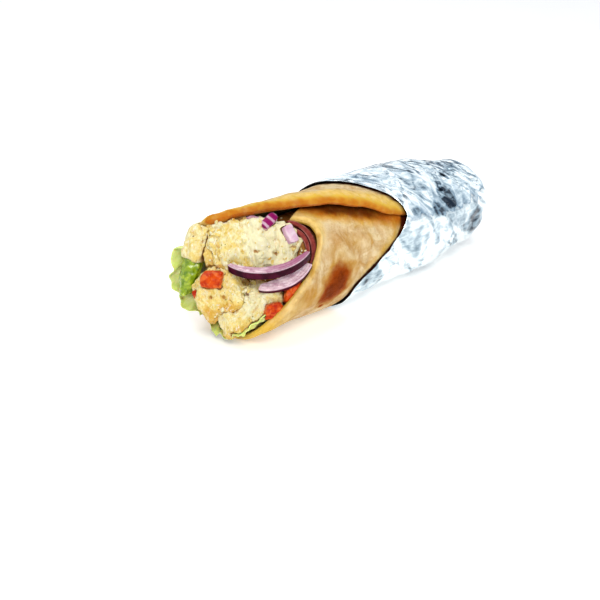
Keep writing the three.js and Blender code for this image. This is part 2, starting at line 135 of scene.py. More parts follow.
@dataclass(frozen=True)
class Grain:
    """Seeded noise in space, the same at every run."""

    seed: int

    def _tables(self) -> tuple[Array, Array]:
        """Shuffled numbers from 0 up, and one random direction for each.

        Returns:
            The numbers, and the directions, one row each.
        """
        draw = np.random.default_rng(self.seed)
        order = draw.permutation(TABLE)
        slopes = draw.normal(size=(TABLE, 3))
        return order, slopes / np.linalg.norm(slopes, axis=1, keepdims=True)

    def _numbers(self, order: Array, cell: Array) -> Array:
        """The shuffled number of each lattice cell."""
        line = order[cell[:, 0] % TABLE]
        return order[(order[(line + cell[:, 1]) % TABLE] + cell[:, 2]) % TABLE]

    def _centres(self, scaled: Array) -> Iterator[tuple[Array, Array, Array]]:
        """Steps through the 27 scattered centres about each place.

        Args:
            scaled: places in lattice cells, one row each.

        Returns:
            Number, lattice corner and jitter of one centre a place, at each step.
        """
        order, _ = self._tables()
        cell = np.floor(scaled).astype(int)
        for step in itertools.product((-1, 0, 1), repeat=3):
            corner = cell + step
            number = self._numbers(order, corner)
            yield number, corner, np.stack([number, order[number], order[order[number]]], axis=1) / TABLE

    def waves(self, points: Array, size: float) -> Array:
        """Smooth noise.

        Args:
            points: places, one row each.
            size: length of one swell, in the unit of the places.

        Returns:
            One number a place, from about -1 to 1.
        """
        order, slopes = self._tables()
        scaled = np.asarray(points, float) / size + WAVES_START
        cell = np.floor(scaled).astype(int)
        inside = scaled - cell
        ease = inside**3 * (inside * (inside * 6 - 15) + 10)
        total = np.zeros(len(scaled))
        for corner in itertools.product((0, 1), repeat=3):
            number = self._numbers(order, cell + corner)
            weight = np.prod(np.where(corner, ease, 1 - ease), axis=1)
            total += weight * np.einsum("ij,ij->i", slopes[number], inside - corner)
        return total * WAVES_GAIN

    def layers(self, points: Array, size: float, count: int, gain: float = 0.5) -> Array:
        """Smooth noise with finer noise on top.

        Args:
            points: places, one row each.
            size: length of the largest swell.
            count: how many layers, each half the size of the one before.
            gain: height of each layer over the one before.

        Returns:
            One number a place, from about -1 to 1.
        """
        total = np.zeros(len(points))
        for step in range(count):
            total += gain**step * Grain(self.seed + 17 * step).waves(points, size / 2**step)
        return total

    def pits(self, points: Array, size: float, share: float) -> Array:
        """Closeness to scattered pit centres.

        Args:
            points: places, one row each.
            size: mean distance between centres.
            share: how many of the centres hold a pit, from 0 to 1.

        Returns:
            Distance to the nearest pit over size, at most 1.
        """
        order, _ = self._tables()
        scaled = np.asarray(points, float) / size + PITS_START
        nearest = np.ones(len(scaled))
        for number, corner, jitter in self._centres(scaled):
            away = np.linalg.norm(corner + jitter - scaled, axis=1)
            held = order[(number + PITS_SHUFFLE) % TABLE] < TABLE * share
            nearest = np.where(held, np.minimum(nearest, away), nearest)
        return nearest

    def chips(self, points: Array, size: float, crisp: float = 10.0) -> Array:
        """Heights of a torn surface: flat faces of many slants that meet in soft creases.

        Args:
            points: places, one row each.
            size: mean width of a face.
            crisp: how sharply the faces meet.

        Returns:
            One number a place, from about -1 to 1.
        """
        order, slopes = self._tables()
        scaled = np.asarray(points, float) / size + CHIPS_START
        total, weights = np.zeros(len(scaled)), np.zeros(len(scaled))
        for number, corner, jitter in self._centres(scaled):
            away = scaled - corner - jitter
            weight = np.exp(-crisp * np.einsum("ij,ij->i", away, away))
            slant = np.einsum("ij,ij->i", slopes[number], away)
            total += weight * (CHIP_SLANT * slant + CHIP_STEP * slopes[order[number], 0])
            weights += weight
        return total / weights

    def facets(self, along: Array, around: Array, size: float, period: int) -> Array:
        """Heights of a sheet pressed into flat triangles, closed round the roll.

        Args:
            along: distance along the roll.
            around: share of a full turn, from 0 to 1.
            size: mean width of a facet along the roll.
            period: how many facets go round.

        Returns:
            One height a place, from -1 to 1.
        """
        draw = np.random.default_rng(self.seed)
        jitter = draw.uniform(-FACET_JITTER, FACET_JITTER, (FACET_COLUMNS, period, 2))
        height = draw.uniform(-1, 1, (FACET_COLUMNS, period))
        lattice = np.stack(np.meshgrid(np.arange(FACET_COLUMNS), np.arange(period), indexing="ij"), -1)
        a, b, c, d = (
            lattice + step + np.roll(jitter, (-step[0], -step[1]), (0, 1))
            for step in ((0, 0), (1, 0), (1, 1), (0, 1))
        )
        plump = np.minimum(np.cross(b - a, c - a), np.cross(c - a, d - a))
        slanted = plump > np.minimum(np.cross(b - a, d - a), np.cross(c - b, d - b))
        place = np.stack([np.asarray(along) / size + FACET_START, np.asarray(around) * period], axis=-1)
        cell = np.floor(place).astype(int)
        found = np.zeros(len(place))

        def wrapped(step: tuple[int, int]) -> tuple[Array, Array]:
            """Column and row of the lattice at a step from each cell."""
            return (cell[:, 0] + step[0]) % FACET_COLUMNS, (cell[:, 1] + step[1]) % period

        def corner(step: tuple[int, int]) -> tuple[Array, Array]:
            """Place and height of the lattice corner at a step from each cell."""
            return cell + step + jitter[wrapped(step)], height[wrapped(step)]

        for step in itertools.product((-1, 0, 1), repeat=2):
            right, up = (step[0] + 1, step[1]), (step[0], step[1] + 1)
            far = (step[0] + 1, step[1] + 1)
            split = slanted[wrapped(step)]
            for corners, wanted in (
                ((step, right, far), True),
                ((step, far, up), True),
                ((step, right, up), False),
                ((right, far, up), False),
            ):
                (a, height_a), (b, height_b), (c, height_c) = (corner(one) for one in corners)
                whole = np.cross(b - a, c - a)
                share_b = np.cross(place - a, c - a) / whole
                share_c = np.cross(b - a, place - a) / whole
                share_a = 1 - share_b - share_c
                least = np.minimum(np.minimum(share_a, share_b), share_c)
                inside = (least >= -ON_EDGE) & (split == wanted)
                found = np.where(inside, share_a * height_a + share_b * height_b + share_c * height_c, found)
        return found


# ---- Meshes ----


def grid_faces(rows: int, columns: int, offset: int = 0, closed: bool = False) -> Array:
    """Quads of a grid of points.

    Args:
        rows: lines of points.
        columns: points in a line.
        offset: number of the grid's first point.
        closed: whether each line joins its own start.

    Returns:
        Four point numbers a quad.
    """
    row = np.arange(rows - 1)[:, None] * columns
    column = np.arange(columns if closed else columns - 1)[None, :]
    following = (column + 1) % columns
    quads = np.stack([row + column, row + following, row + columns + following, row + columns + column], -1)
    return quads.reshape(-1, 4) + offset


def shell_faces(rows: int, columns: int) -> Array:
    """Quads of two grids of points, front then back, joined along their border.

    Args:
        rows: lines of points.
        columns: points in a line.

    Returns:
        Four point numbers a quad.
    """
    count = rows * columns
    front = grid_faces(rows, columns)[:, ::-1]
    back = grid_faces(rows, columns, count)
    border = list(range(columns))
    border += [row * columns + columns - 1 for row in range(1, rows)]
    border += [(rows - 1) * columns + column for column in range(columns - 2, -1, -1)]
    border += [row * columns for row in range(rows - 2, 0, -1)]
    ring = np.array(border)
    following = np.roll(ring, -1)
    sides = np.stack([ring, following, following + count, ring + count], -1)
    return np.concatenate([front, back, sides])


def make_piece(name: str, points: Array, faces: list) -> Piece:
    """A mesh from points in the roll's own frame.

    Args:
        name: name of the piece.
        points: places in millimetres, one row each.
        faces: point numbers of each face.

    Returns:
        The piece, in the part's frame and smoothly shaded.
    """
    mesh = bpy.data.meshes.new(name)
    mesh.from_pydata((points - ROLL_ORIGIN) * METRES, [], faces)
    mesh.polygons.foreach_set("use_smooth", np.ones(len(mesh.polygons), bool))
    mesh.update()
    piece = bpy.data.objects.new(name, mesh)
    bpy.context.scene.collection.objects.link(piece)
    return piece


def ball() -> tuple[Array, Array]:
    """Points and faces of a ball of radius 1.

    Returns:
        Places, and three point numbers a face.
    """
    mesh = bpy.data.meshes.new("ball")
    shape = bmesh.new()
    bmesh.ops.create_icosphere(shape, subdivisions=2, radius=1.0)
    shape.to_mesh(mesh)
    shape.free()
    points = np.array([vertex.co[:] for vertex in mesh.vertices])
    faces = np.array([list(face.vertices) for face in mesh.polygons])
    bpy.data.meshes.remove(mesh)
    return points, faces


def refined_copy(node: str, name: str, voxel: float, rounding: int) -> Piece:
    """A fine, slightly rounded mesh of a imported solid.

    Args:
        node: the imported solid.
        name: name of the new piece.
        voxel: width of its mesh cells in millimetres.
        rounding: smoothing steps, more of them for rounder edges.

    Returns:
        The new piece.
    """
    piece = bpy.data.objects.new(name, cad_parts[node].data.copy())
    bpy.context.scene.collection.objects.link(piece)
    piece.data.materials.clear()
    fine = piece.modifiers.new("fine", "REMESH")
    fine.mode = "VOXEL"
    fine.voxel_size = voxel * METRES
    fine.use_smooth_shade = True
    soft = piece.modifiers.new("soft", "SMOOTH")
    soft.factor = 0.5
    soft.iterations = rounding
    shaped = bpy.data.meshes.new_from_object(piece.evaluated_get(bpy.context.evaluated_depsgraph_get()))
    shaped.name = name
    piece.modifiers.clear()
    piece.data = shaped
    return piece


def places_of(piece: Piece) -> Array:
    """A piece's points in the roll's own frame, in millimetres.

    Args:
        piece: the piece.

    Returns:
        One place a row.
    """
    found = np.zeros(len(piece.data.vertices) * 3, np.float32)
    piece.data.vertices.foreach_get("co", found)
    return found.reshape(-1, 3).astype(float) / METRES + ROLL_ORIGIN


def normals_of(piece: Piece) -> Array:
    """Outward directions at a piece's points.

    Args:
        piece: the piece.

    Returns:
        One direction a row.
    """
    found = np.zeros(len(piece.data.vertices) * 3, np.float32)
    piece.data.vertex_normals.foreach_get("vector", found)
    return found.reshape(-1, 3).astype(float)


def move_points(piece: Piece, points: Array) -> None:
    """Puts a piece's points at places in the roll's own frame."""
    piece.data.vertices.foreach_set("co", ((points - ROLL_ORIGIN) * METRES).astype(np.float32).ravel())
    piece.data.update()


@dataclass
class Neighbours:
    """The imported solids, to tell how hemmed in a place among them is."""

    reach: float = 11.0
    clear: float = 1.8
    rays: int = 9
    least_facing: float = -0.25
    helper: tuple[float, float, float] = (0.31, 0.87, 0.38)

    def __post_init__(self) -> None:
        """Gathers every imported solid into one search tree."""
        points, faces = [], []
        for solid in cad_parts.values():
            first = len(points)
            points += [vertex.co[:] for vertex in solid.data.vertices]
            faces += [[first + number for number in face.vertices] for face in solid.data.polygons]
        self.tree = BVHTree.FromPolygons(points, faces)
        step = np.arange(self.rays) + 0.5
        rise = 1 - step / self.rays
        turn = step * GOLDEN_TURN
        flat = np.sqrt(1 - rise**2)
        self.spray = np.stack([flat * np.cos(turn), flat * np.sin(turn), rise], -1)

    def closeness(self, piece: Piece, foremost: float) -> Array:
        """Share of the outlook from each point that neighbours block.

        Args:
            piece: the piece whose points are judged.
            foremost: points further along the roll than this, and those that face inward, aren't
                judged and count as blocked.

        Returns:
            Shares from 0 in the open to 1 in a crevice.
        """
        places, normals = places_of(piece), normals_of(piece)
        found = np.ones(len(places))
        facing = normals @ MouthFrame().axes[2] > self.least_facing
        near = np.flatnonzero((places[:, 0] < foremost) & facing)
        side = np.cross(normals[near], self.helper)
        side /= np.linalg.norm(side, axis=1, keepdims=True) + 1e-9
        other = np.cross(normals[near], side)
        starts = ((places[near] + normals[near] * self.clear - ROLL_ORIGIN) * METRES).tolist()
        blocked = np.zeros(len(near))
        cast, reach = self.tree.ray_cast, self.reach * METRES
        for across, along, outward in self.spray:
            ways = (side * across + other * along + normals[near] * outward).tolist()
            hits = [cast(start, way, reach)[0] is not None for start, way in zip(starts, ways)]
            blocked += np.array(hits, float)
        found[near] = blocked / self.rays
        return found


def paint(piece: Piece, name: str, values: Array) -> None:
    """Keeps one number a point for the finish to read."""
    layer = piece.data.attributes.new(name, "FLOAT", "POINT")
    layer.data.foreach_set("value", np.asarray(values, np.float32).ravel())


def settle(piece: Piece, nodes: tuple[str, ...], slot: str, finishes: list[bpy.types.Material]) -> None:
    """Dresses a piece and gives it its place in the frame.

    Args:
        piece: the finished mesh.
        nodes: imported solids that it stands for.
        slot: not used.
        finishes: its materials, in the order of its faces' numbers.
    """
    for finish in finishes:
        piece.data.materials.append(finish)
    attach(piece, "root")
    if nodes:
        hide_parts(*nodes)
    count, stands_for = len(piece.data.vertices), ", ".join(nodes) or "none"
    LOG.info("%s: %d points, stands for %s", piece.name, count, stands_for)


# ---- Finishes ----


Source = Socket | Tint | float | tuple[float, ...]  # what an input of a node takes
WHITE = Tint(255, 255, 255)


class Sum(Enum):
    """How a node makes one number of two."""

    ADD = "ADD"
    SUBTRACT = "SUBTRACT"
    MULTIPLY = "MULTIPLY"
    LARGER = "MAXIMUM"


class NodeTree:
    """A tree of shader nodes, laid out link by link."""

    def __init__(self, tree: bpy.types.NodeTree) -> None:
        """Starts with the tree of a material or a world."""
        self.tree = tree

    def feed(self, socket: Socket, source: Source) -> None:
        """Leads a source to a socket, or sets it to a colour or number.

        Args:
            socket: what takes it.
            source: what is led or set.
        """
        if isinstance(source, Socket):
            self.tree.links.new(source, socket)
        else:
            socket.default_value = source.linear() if isinstance(source, Tint) else source

    def node(self, kind: str, settings: dict[str, str] | None = None, **inputs: Source) -> bpy.types.Node:
        """Adds a node.

        Args:
            kind: Blender's name of it.
            settings: its own settings.
            inputs: what its inputs take, with _ in place of a space in a name.

        Returns:
            The node.
        """
        node = self.tree.nodes.new(kind)
        for name, setting in (settings or {}).items():
            setattr(node, name, setting)
        for name, source in inputs.items():
            self.feed(node.inputs[name.replace("_", " ")], source)
        return node

    def maths(self, kind: Sum, first: Socket, second: Socket | float) -> Socket:
        """The sum of two numbers.

        Args:
            kind: which sum.
            first: the first number.
            second: the second number.

        Returns:
            The result.
        """
        node = self.node("ShaderNodeMath", {"operation": kind.value})
        for socket, source in zip(node.inputs, (first, second)):
            self.feed(socket, source)
        return node.outputs[0]

    def ramp(self, source: Socket, stops: list[tuple[float, Tint]]) -> Socket:
        """Colours along a number.

        Args:
            source: the number.
            stops: place and colour of each stop, lowest first.

        Returns:
            The colour.
        """
        node = self.node("ShaderNodeValToRGB", Fac=source)
        elements = node.color_ramp.elements
        while len(elements) < len(stops):
            elements.new(0.5)
        for element, (place, colour) in zip(elements, stops):
            element.position = place
            element.color = colour.linear()
        return node.outputs["Color"]

    def mix(self, amount: Source, under: Source, over: Source, kind: str = "MIX") -> Socket:
        """Lays one colour over another.

        Args:
            amount: how much of the upper one, from 0 to 1.
            under: the lower colour.
            over: the upper colour.
            kind: Blender's name of the blend.

        Returns:
            The mixed colour.
        """
        settings = {"data_type": "RGBA", "blend_type": kind}
        return self.node("ShaderNodeMix", settings, Factor=amount, A=under, B=over).outputs["Result"]


class Bench(NodeTree):
    """The node tree of one finish, its colour built up coat by coat."""

    def __init__(self, name: str) -> None:
        """Starts a finish called name, with places in millimetres at hand.

        Args:
            name: the material's name.
        """
        self.material = bpy.data.materials.new(name)
        self.material.use_nodes = True
        super().__init__(self.material.node_tree)
        self.shader = self.tree.nodes["Principled BSDF"]
        self.colour: Source = Tint(0, 0, 0)
        self.place = self._scaled(self.node("ShaderNodeTexCoord").outputs["Object"], (1 / METRES,) * 3)

    def _scaled(self, source: Socket, factors: tuple[float, float, float]) -> Socket:
        """Places multiplied by one factor an axis.

        Args:
            source: the places.
            factors: one factor an axis.

        Returns:
            The scaled places.
        """
        node = self.node("ShaderNodeVectorMath", {"operation": "MULTIPLY"})
        self.feed(node.inputs[0], source)
        self.feed(node.inputs[1], factors)
        return node.outputs[0]

    def set(self, **inputs: Source) -> None:
        """Sets or links the shader's own sockets, with _ in place of a space in a name."""
        for name, source in inputs.items():
            self.feed(self.shader.inputs[name.replace("_", " ")], source)

    def noise(
        self,
        size: float,
        detail: float = 2.0,
        rough: float = 0.5,
        warp: float = 0.0,
        stretch: tuple[float, float, float] = (1, 1, 1),
    ) -> Socket:
        """Cloudy noise.

        Args:
            size: width of a cloud in millimetres.
            detail: finer layers on top.
            rough: strength of those layers.
            warp: how far it is swirled.
            stretch: length of a cloud along each axis.

        Returns:
            A number from 0 to 1.
        """
        place = self._scaled(self.place, tuple(1 / (size * part) for part in stretch))
        numbers = {"Scale": 1.0, "Detail": detail, "Roughness": rough, "Distortion": warp}
        return self.node("ShaderNodeTexNoise", Vector=place, **numbers).outputs["Fac"]

    def value(self, name: str) -> Socket:
        """A number kept on the mesh by paint."""
        return self.node("ShaderNodeAttribute", {"attribute_name": name}).outputs["Fac"]

    def maths(self, kind: Sum, first: Socket, second: Socket | float) -> Socket:
        """The sum of two numbers, held between 0 and 1.

        Args:
            kind: which sum.
            first: the first number.
            second: the second number.

        Returns:
            The result.
        """
        result = super().maths(kind, first, second)
        result.node.use_clamp = True
        return result

    def spread(
        self, source: Socket, low: float, high: float, at_low: float = 0.0, at_high: float = 1.0
    ) -> Socket:
        """Maps low..high to at_low..at_high, softly at both ends.

        Args:
            source: the number.
            low: where the change begins.
            high: where it is complete.
            at_low: what low becomes.
            at_high: what high becomes.

        Returns:
            A number between at_low and at_high.
        """
        span = {"From Min": low, "From Max": high, "To Min": at_low, "To Max": at_high}
        node = self.node("ShaderNodeMapRange", {"interpolation_type": "SMOOTHSTEP"}, Value=source, **span)
        return node.outputs["Result"]

    def cloudy(self, name: str, cloud: Socket, low: float, high: float, least: float) -> Socket:
        """A number kept on the mesh, down to its least share where the cloud sinks from high to low."""
        return self.maths(Sum.MULTIPLY, self.value(name), self.spread(cloud, low, high, at_low=least))

    def lay(self, coat: Source, amount: Socket | None = None) -> None:
        """Lays a coat of colour.

        Args:
            coat: its colour.
            amount: how much of it shows over what lies there, from 0 to 1, or all of it.
        """
        self.colour = coat if amount is None else self.mix(amount, self.colour, coat)
        self.set(Base_Color=self.colour)

    def relief(self, height: Socket, depth: float) -> None:
        """Adds fine relief to the surface, of a depth in millimetres.

        Args:
            height: a number from 0 to 1.
            depth: height of 1 in millimetres.
        """
        before = self.shader.inputs["Normal"]
        node = self.node("ShaderNodeBump", Height=height, Distance=depth * METRES)
        if before.is_linked:
            self.tree.links.new(before.links[0].from_socket, node.inputs["Normal"])
        self.tree.links.new(node.outputs["Normal"], before)


@dataclass(frozen=True)
class BreadFinish:
    """Pan-fried flaky flatbread: creamy dough, golden where it met the pan, with toasted spots, painted
    highlights and painted shade.
    """

    cream: Tint = Tint(226, 204, 162)
    tan: Tint = Tint(190, 146, 86)
    golden: Tint = Tint(226, 184, 68)
    painted_highlight: Tint = Tint(244, 210, 136)
    amber_and_shade: Tint = Tint(184, 90, 4)
    toasted: Tint = Tint(150, 62, 0)
    scorched: Tint = Tint(74, 20, 0)
    dough: Tint = Tint(188, 138, 74)
    shadow: Tint = Tint(68, 20, 4)

    def material(self) -> bpy.types.Material:
        """Lays out the finish from the mesh's golden, toast and dough values, its painted highlights, its
        amber that is partly painted shade, and its painted shadow.

        Returns:
            The material.
        """
        bench = Bench("fried_flatbread")
        bench.lay(bench.ramp(bench.noise(9, 5, rough=0.62, warp=0.8), [(0.36, self.tan), (0.58, self.cream)]))
        mottle = bench.noise(2.6, 4, rough=0.65, warp=0.5)
        bench.lay(self.tan, bench.spread(mottle, 0.5, 0.75, at_high=0.6))
        flakes = bench.noise(1.1, 3, rough=0.7, warp=0.4)
        bench.lay(self.golden, bench.spread(flakes, 0.54, 0.8, at_high=0.35))
        bench.lay(self.golden, bench.cloudy("golden", bench.noise(4, 4), 0.25, 0.6, least=0.6))
        # Painted highlight on the lip's crest, the tongue and the rim's inner strip.
        bench.lay(self.painted_highlight, bench.cloudy("painted_highlight", bench.noise(2.4, 4), 0.35, 0.65, least=0.2))
        # Dough colour: the inside's own colour; outside, darker strokes that are partly the bread's colour
        # and partly painted shade along its folds.
        bench.lay(self.dough, bench.cloudy("dough", bench.noise(2.2, 4, rough=0.6), 0.3, 0.65, least=0.45))
        # Amber on and under the lip: partly toasted colour, partly painted shade.
        bench.lay(self.amber_and_shade, bench.cloudy("amber_and_shade", bench.noise(3.4, 4), 0.25, 0.6, least=0.7))
        toast = bench.value("toast")
        fray = bench.spread(bench.noise(3.0, 4, rough=0.6), 0.25, 0.7, at_low=-0.16, at_high=0.16)
        frayed = bench.maths(Sum.ADD, toast, bench.maths(Sum.MULTIPLY, fray, toast))
        bench.lay(self.golden, bench.spread(frayed, 0.02, 0.5, at_high=0.6))
        bench.lay(self.toasted, bench.spread(frayed, 0.04, 0.8))
        bench.lay(self.scorched, bench.spread(frayed, 0.7, 1.1, at_high=0.7))
        bench.lay(self.shadow, bench.value("shade"))
        bench.set(Roughness=bench.spread(bench.noise(3, 3), 0.3, 0.7, at_low=0.45, at_high=0.65))
        bench.set(Specular_IOR_Level=0.03, Subsurface_Weight=0.04, Subsurface_Scale=0.0015)
        bench.relief(bench.noise(2.4, 5, rough=0.65, warp=0.4), 0.6)
        bench.relief(bench.noise(0.8, 3, rough=0.65), 0.2)
        return bench.material


@dataclass(frozen=True)
class FoilFinish:
    """Crumpled kitchen foil, bright side out."""

    silver: Tint = Tint(244, 250, 251)
    pale_steel: Tint = Tint(202, 216, 223)
    steel: Tint = Tint(148, 168, 181)
    slate: Tint = Tint(50, 60, 72)
    inside_shade_dark: Tint = Tint(26, 24, 26)
    inside_shade_light: Tint = Tint(44, 40, 40)
    smoothest: float = 0.1
    dullest: float = 0.26

    def material(self) -> bpy.types.Material:
        """Lays out the bright outside, its colour a painted reflection from the mesh's values and a streaky
        cloud.

        Returns:
            The material.
        """
        bench = Bench("bright_foil")
        drift = bench.noise(3.5, 4, rough=0.6, warp=0.5, stretch=(2.5, 1, 1))
        cloud = bench.spread(drift, 0.3, 0.7, at_high=0.3)
        painted_reflection = bench.maths(Sum.SUBTRACT, bench.maths(Sum.ADD, bench.value("painted_reflection"), cloud), 0.15)
        # Painted reflection: facet values and streaks pick slate, steel or silver, as if each facet mirrored
        # a darker or brighter part of the room.
        stops = [(0.0, self.slate), (0.2, self.steel), (0.4, self.pale_steel), (0.56, self.silver)]
        bench.lay(bench.ramp(painted_reflection, stops))
        dullness = bench.spread(bench.noise(4, 3), 0.3, 0.7, at_low=self.smoothest, at_high=self.dullest)
        bench.set(Roughness=dullness, Metallic=1.0)
        bench.relief(bench.noise(3.2, 2, warp=0.6, stretch=(4, 1, 1)), 0.04)
        return bench.material

    def shaded_inside(self) -> bpy.types.Material:
        """Lays out the inside and cut edge, dark grey as painted shade.

        Returns:
            The material.
        """
        bench = Bench("foil_inside_shade")
        bench.lay(bench.ramp(bench.noise(3), [(0.4, self.inside_shade_dark), (0.6, self.inside_shade_light)]))
        bench.set(Metallic=0.4, Roughness=0.6)
        return bench.material


@dataclass(frozen=True)
class ChickenFinish:
    """Torn chicken in a creamy marinade, golden and darker in its hollows, partly marinade and partly painted
    shade.
    """

    gold: Tint = Tint(208, 160, 62)
    straw: Tint = Tint(228, 204, 120)
    ivory: Tint = Tint(230, 222, 176)
    cream: Tint = Tint(243, 242, 236)
    olive: Tint = Tint(194, 166, 74)
    crust_and_shade: Tint = Tint(196, 146, 56)
    sauce_and_shade: Tint = Tint(150, 92, 32)
    hollow: Tint = Tint(92, 40, 14)

    def material(self) -> bpy.types.Material:
        """Lays out the finish from the mesh's pale, cavity and close values, with painted shade in cavities
        and where neighbours close in.

        Returns:
            The material.
        """
        bench = Bench("creamy_chicken")
        pale, cavity, close = bench.value("pale"), bench.value("cavity"), bench.value("close")
        drift = bench.spread(bench.noise(3.6, 6, rough=0.7), 0.28, 0.72, at_high=0.6)
        drifting = bench.maths(Sum.SUBTRACT, bench.maths(Sum.ADD, pale, drift), 0.3)
        stops = [(0.0, self.gold), (0.33, self.straw), (0.66, self.ivory), (1.0, self.cream)]
        bench.lay(bench.ramp(drifting, stops))
        specks = bench.noise(0.8, 4, rough=0.7, warp=0.2, stretch=(1, 1, 2.4))
        specks = bench.spread(specks, 0.5, 0.64, at_high=0.6)
        fewer = bench.spread(pale, 0.5, 1.0, at_low=1.0, at_high=0.25)
        bench.lay(self.olive, bench.maths(Sum.MULTIPLY, specks, fewer))
        flakes = bench.noise(1.3, 4, rough=0.7, warp=0.2, stretch=(1, 1, 2.2))
        bench.lay(self.cream, bench.spread(flakes, 0.54, 0.68, at_high=0.65))
        # Cracks and pits darken: partly marinade settled there, partly painted shade.
        bench.lay(self.crust_and_shade, bench.spread(cavity, 0.15, 0.7, at_high=0.55))
        bench.lay(self.sauce_and_shade, bench.spread(cavity, 0.45, 1.0, at_high=0.8))
        # Painted shade where neighbouring pieces close in.
        bench.lay(self.sauce_and_shade, bench.spread(close, 0.5, 0.85, at_high=0.7))
        bench.lay(self.hollow, bench.spread(close, 0.75, 1.0, at_high=0.65))
        bench.set(Roughness=bench.spread(bench.noise(2, 3), 0.3, 0.7, at_low=0.35, at_high=0.6))
        bench.set(Specular_IOR_Level=0.2, Subsurface_Weight=0.05, Subsurface_Scale=0.001)
        bench.relief(bench.noise(1.0, 4, rough=0.65), 0.3)
        return bench.material


@dataclass(frozen=True)
class OnionFinish:
    """Sliced onion: coloured skin, blushing flesh with fine lines."""

    name: str
    skin: Tint
    flesh: Tint
    blush: Tint
    gleam: Tint = Tint(86, 18, 46)
    edge: Tint = Tint(236, 208, 220)
    shade: Tint = Tint(40, 10, 14)

    def material(self) -> bpy.types.Material:
        """Lays out the finish from the mesh's skin, rim, edge and close values: a painted highlight along the
        edges and painted shade where neighbours close in.

        Returns:
            The material.
        """
        bench = Bench(self.name)
        bench.lay(self.flesh)
        bench.lay(self.blush, bench.spread(bench.noise(3.0, 5, rough=0.6), 0.3, 0.75, at_high=0.8))
        lines = bench.noise(0.7, 1, stretch=(9, 9, 1))
        bench.lay(self.blush, bench.spread(lines, 0.5, 0.7, at_high=0.3))
        bench.lay(self.blush, bench.value("rim"))
        # The skin's noise mixes in the gleam colour, a painted sheen.
        skin = bench.ramp(bench.noise(5, 3), [(0.35, self.skin), (0.7, self.gleam)])
        bench.lay(skin, bench.value("skin"))
        # Painted highlight along the upper cut edges.
        bench.lay(self.edge, bench.value("edge"))
        bench.lay(self.shade, bench.spread(bench.value("close"), 0.6, 1.0, at_high=0.7))
        bench.set(Roughness=0.35, Specular_IOR_Level=0.05)
        bench.set(Subsurface_Weight=0.05, Subsurface_Scale=0.001)
        bench.relief(bench.noise(1.5, 3), 0.12)
        return bench.material


@dataclass(frozen=True)
class PepperFinish:
    """Cut pepper: glossy skin, paler moist flesh."""

    name: str
    deep: Tint
    bright: Tint
    flesh: Tint
    shade: Tint
    roughness: float
    coat: float
    relief: float = 0.3

    def material(self) -> bpy.types.Material:
        """Lays out the finish from the mesh's flesh and close values: flesh on cut sides and as a painted
        highlight on knobs, painted shade where neighbours close in.

        Returns:
            The material.
        """
        bench = Bench(self.name)
        bench.lay(bench.ramp(bench.noise(2.8, 3, rough=0.6), [(0.35, self.deep), (0.62, self.bright)]))
        bench.lay(self.flesh, bench.value("flesh"))
        bench.lay(self.shade, bench.spread(bench.value("close"), 0.7, 1.0, at_high=0.4))
        bench.set(Roughness=self.roughness, Specular_IOR_Level=0.14)
        bench.set(Coat_Weight=self.coat, Coat_Roughness=0.06)
        bench.relief(bench.noise(1.6, 3, rough=0.6), self.relief)
        return bench.material


@dataclass(frozen=True)
class LettuceFinish:
    """Crisp lettuce: pale ribs, greener margins."""

    rib: Tint = Tint(248, 250, 222)
    leaf: Tint = Tint(232, 240, 168)
    margin: Tint = Tint(196, 220, 74)
    shade: Tint = Tint(66, 46, 10)

    def material(self) -> bpy.types.Material:
        """Lays out the finish from the mesh's margin, vein and close values.

        Returns:
            The material.
        """
        bench = Bench("crisp_lettuce")
        drift = bench.spread(bench.noise(5, 3), 0.3, 0.7, at_high=0.5)
        green = bench.maths(Sum.SUBTRACT, bench.maths(Sum.ADD, bench.value("margin"), drift), 0.25)
        bench.lay(bench.ramp(green, [(0.0, self.rib), (0.45, self.leaf), (1.0, self.margin)]))
        bench.lay(self.rib, bench.spread(bench.value("vein"), 0.2, 1.0, at_high=0.7))
        bench.lay(self.shade, bench.spread(bench.value("close"), 0.55, 1.0, at_high=0.8))
        bench.set(Roughness=0.25, Specular_IOR_Level=0.4)
        bench.set(Subsurface_Weight=0.2, Subsurface_Scale=0.001)
        bench.relief(bench.noise(1.8, 4, rough=0.6), 0.2)
        return bench.material


# ---- The roll's own form ----


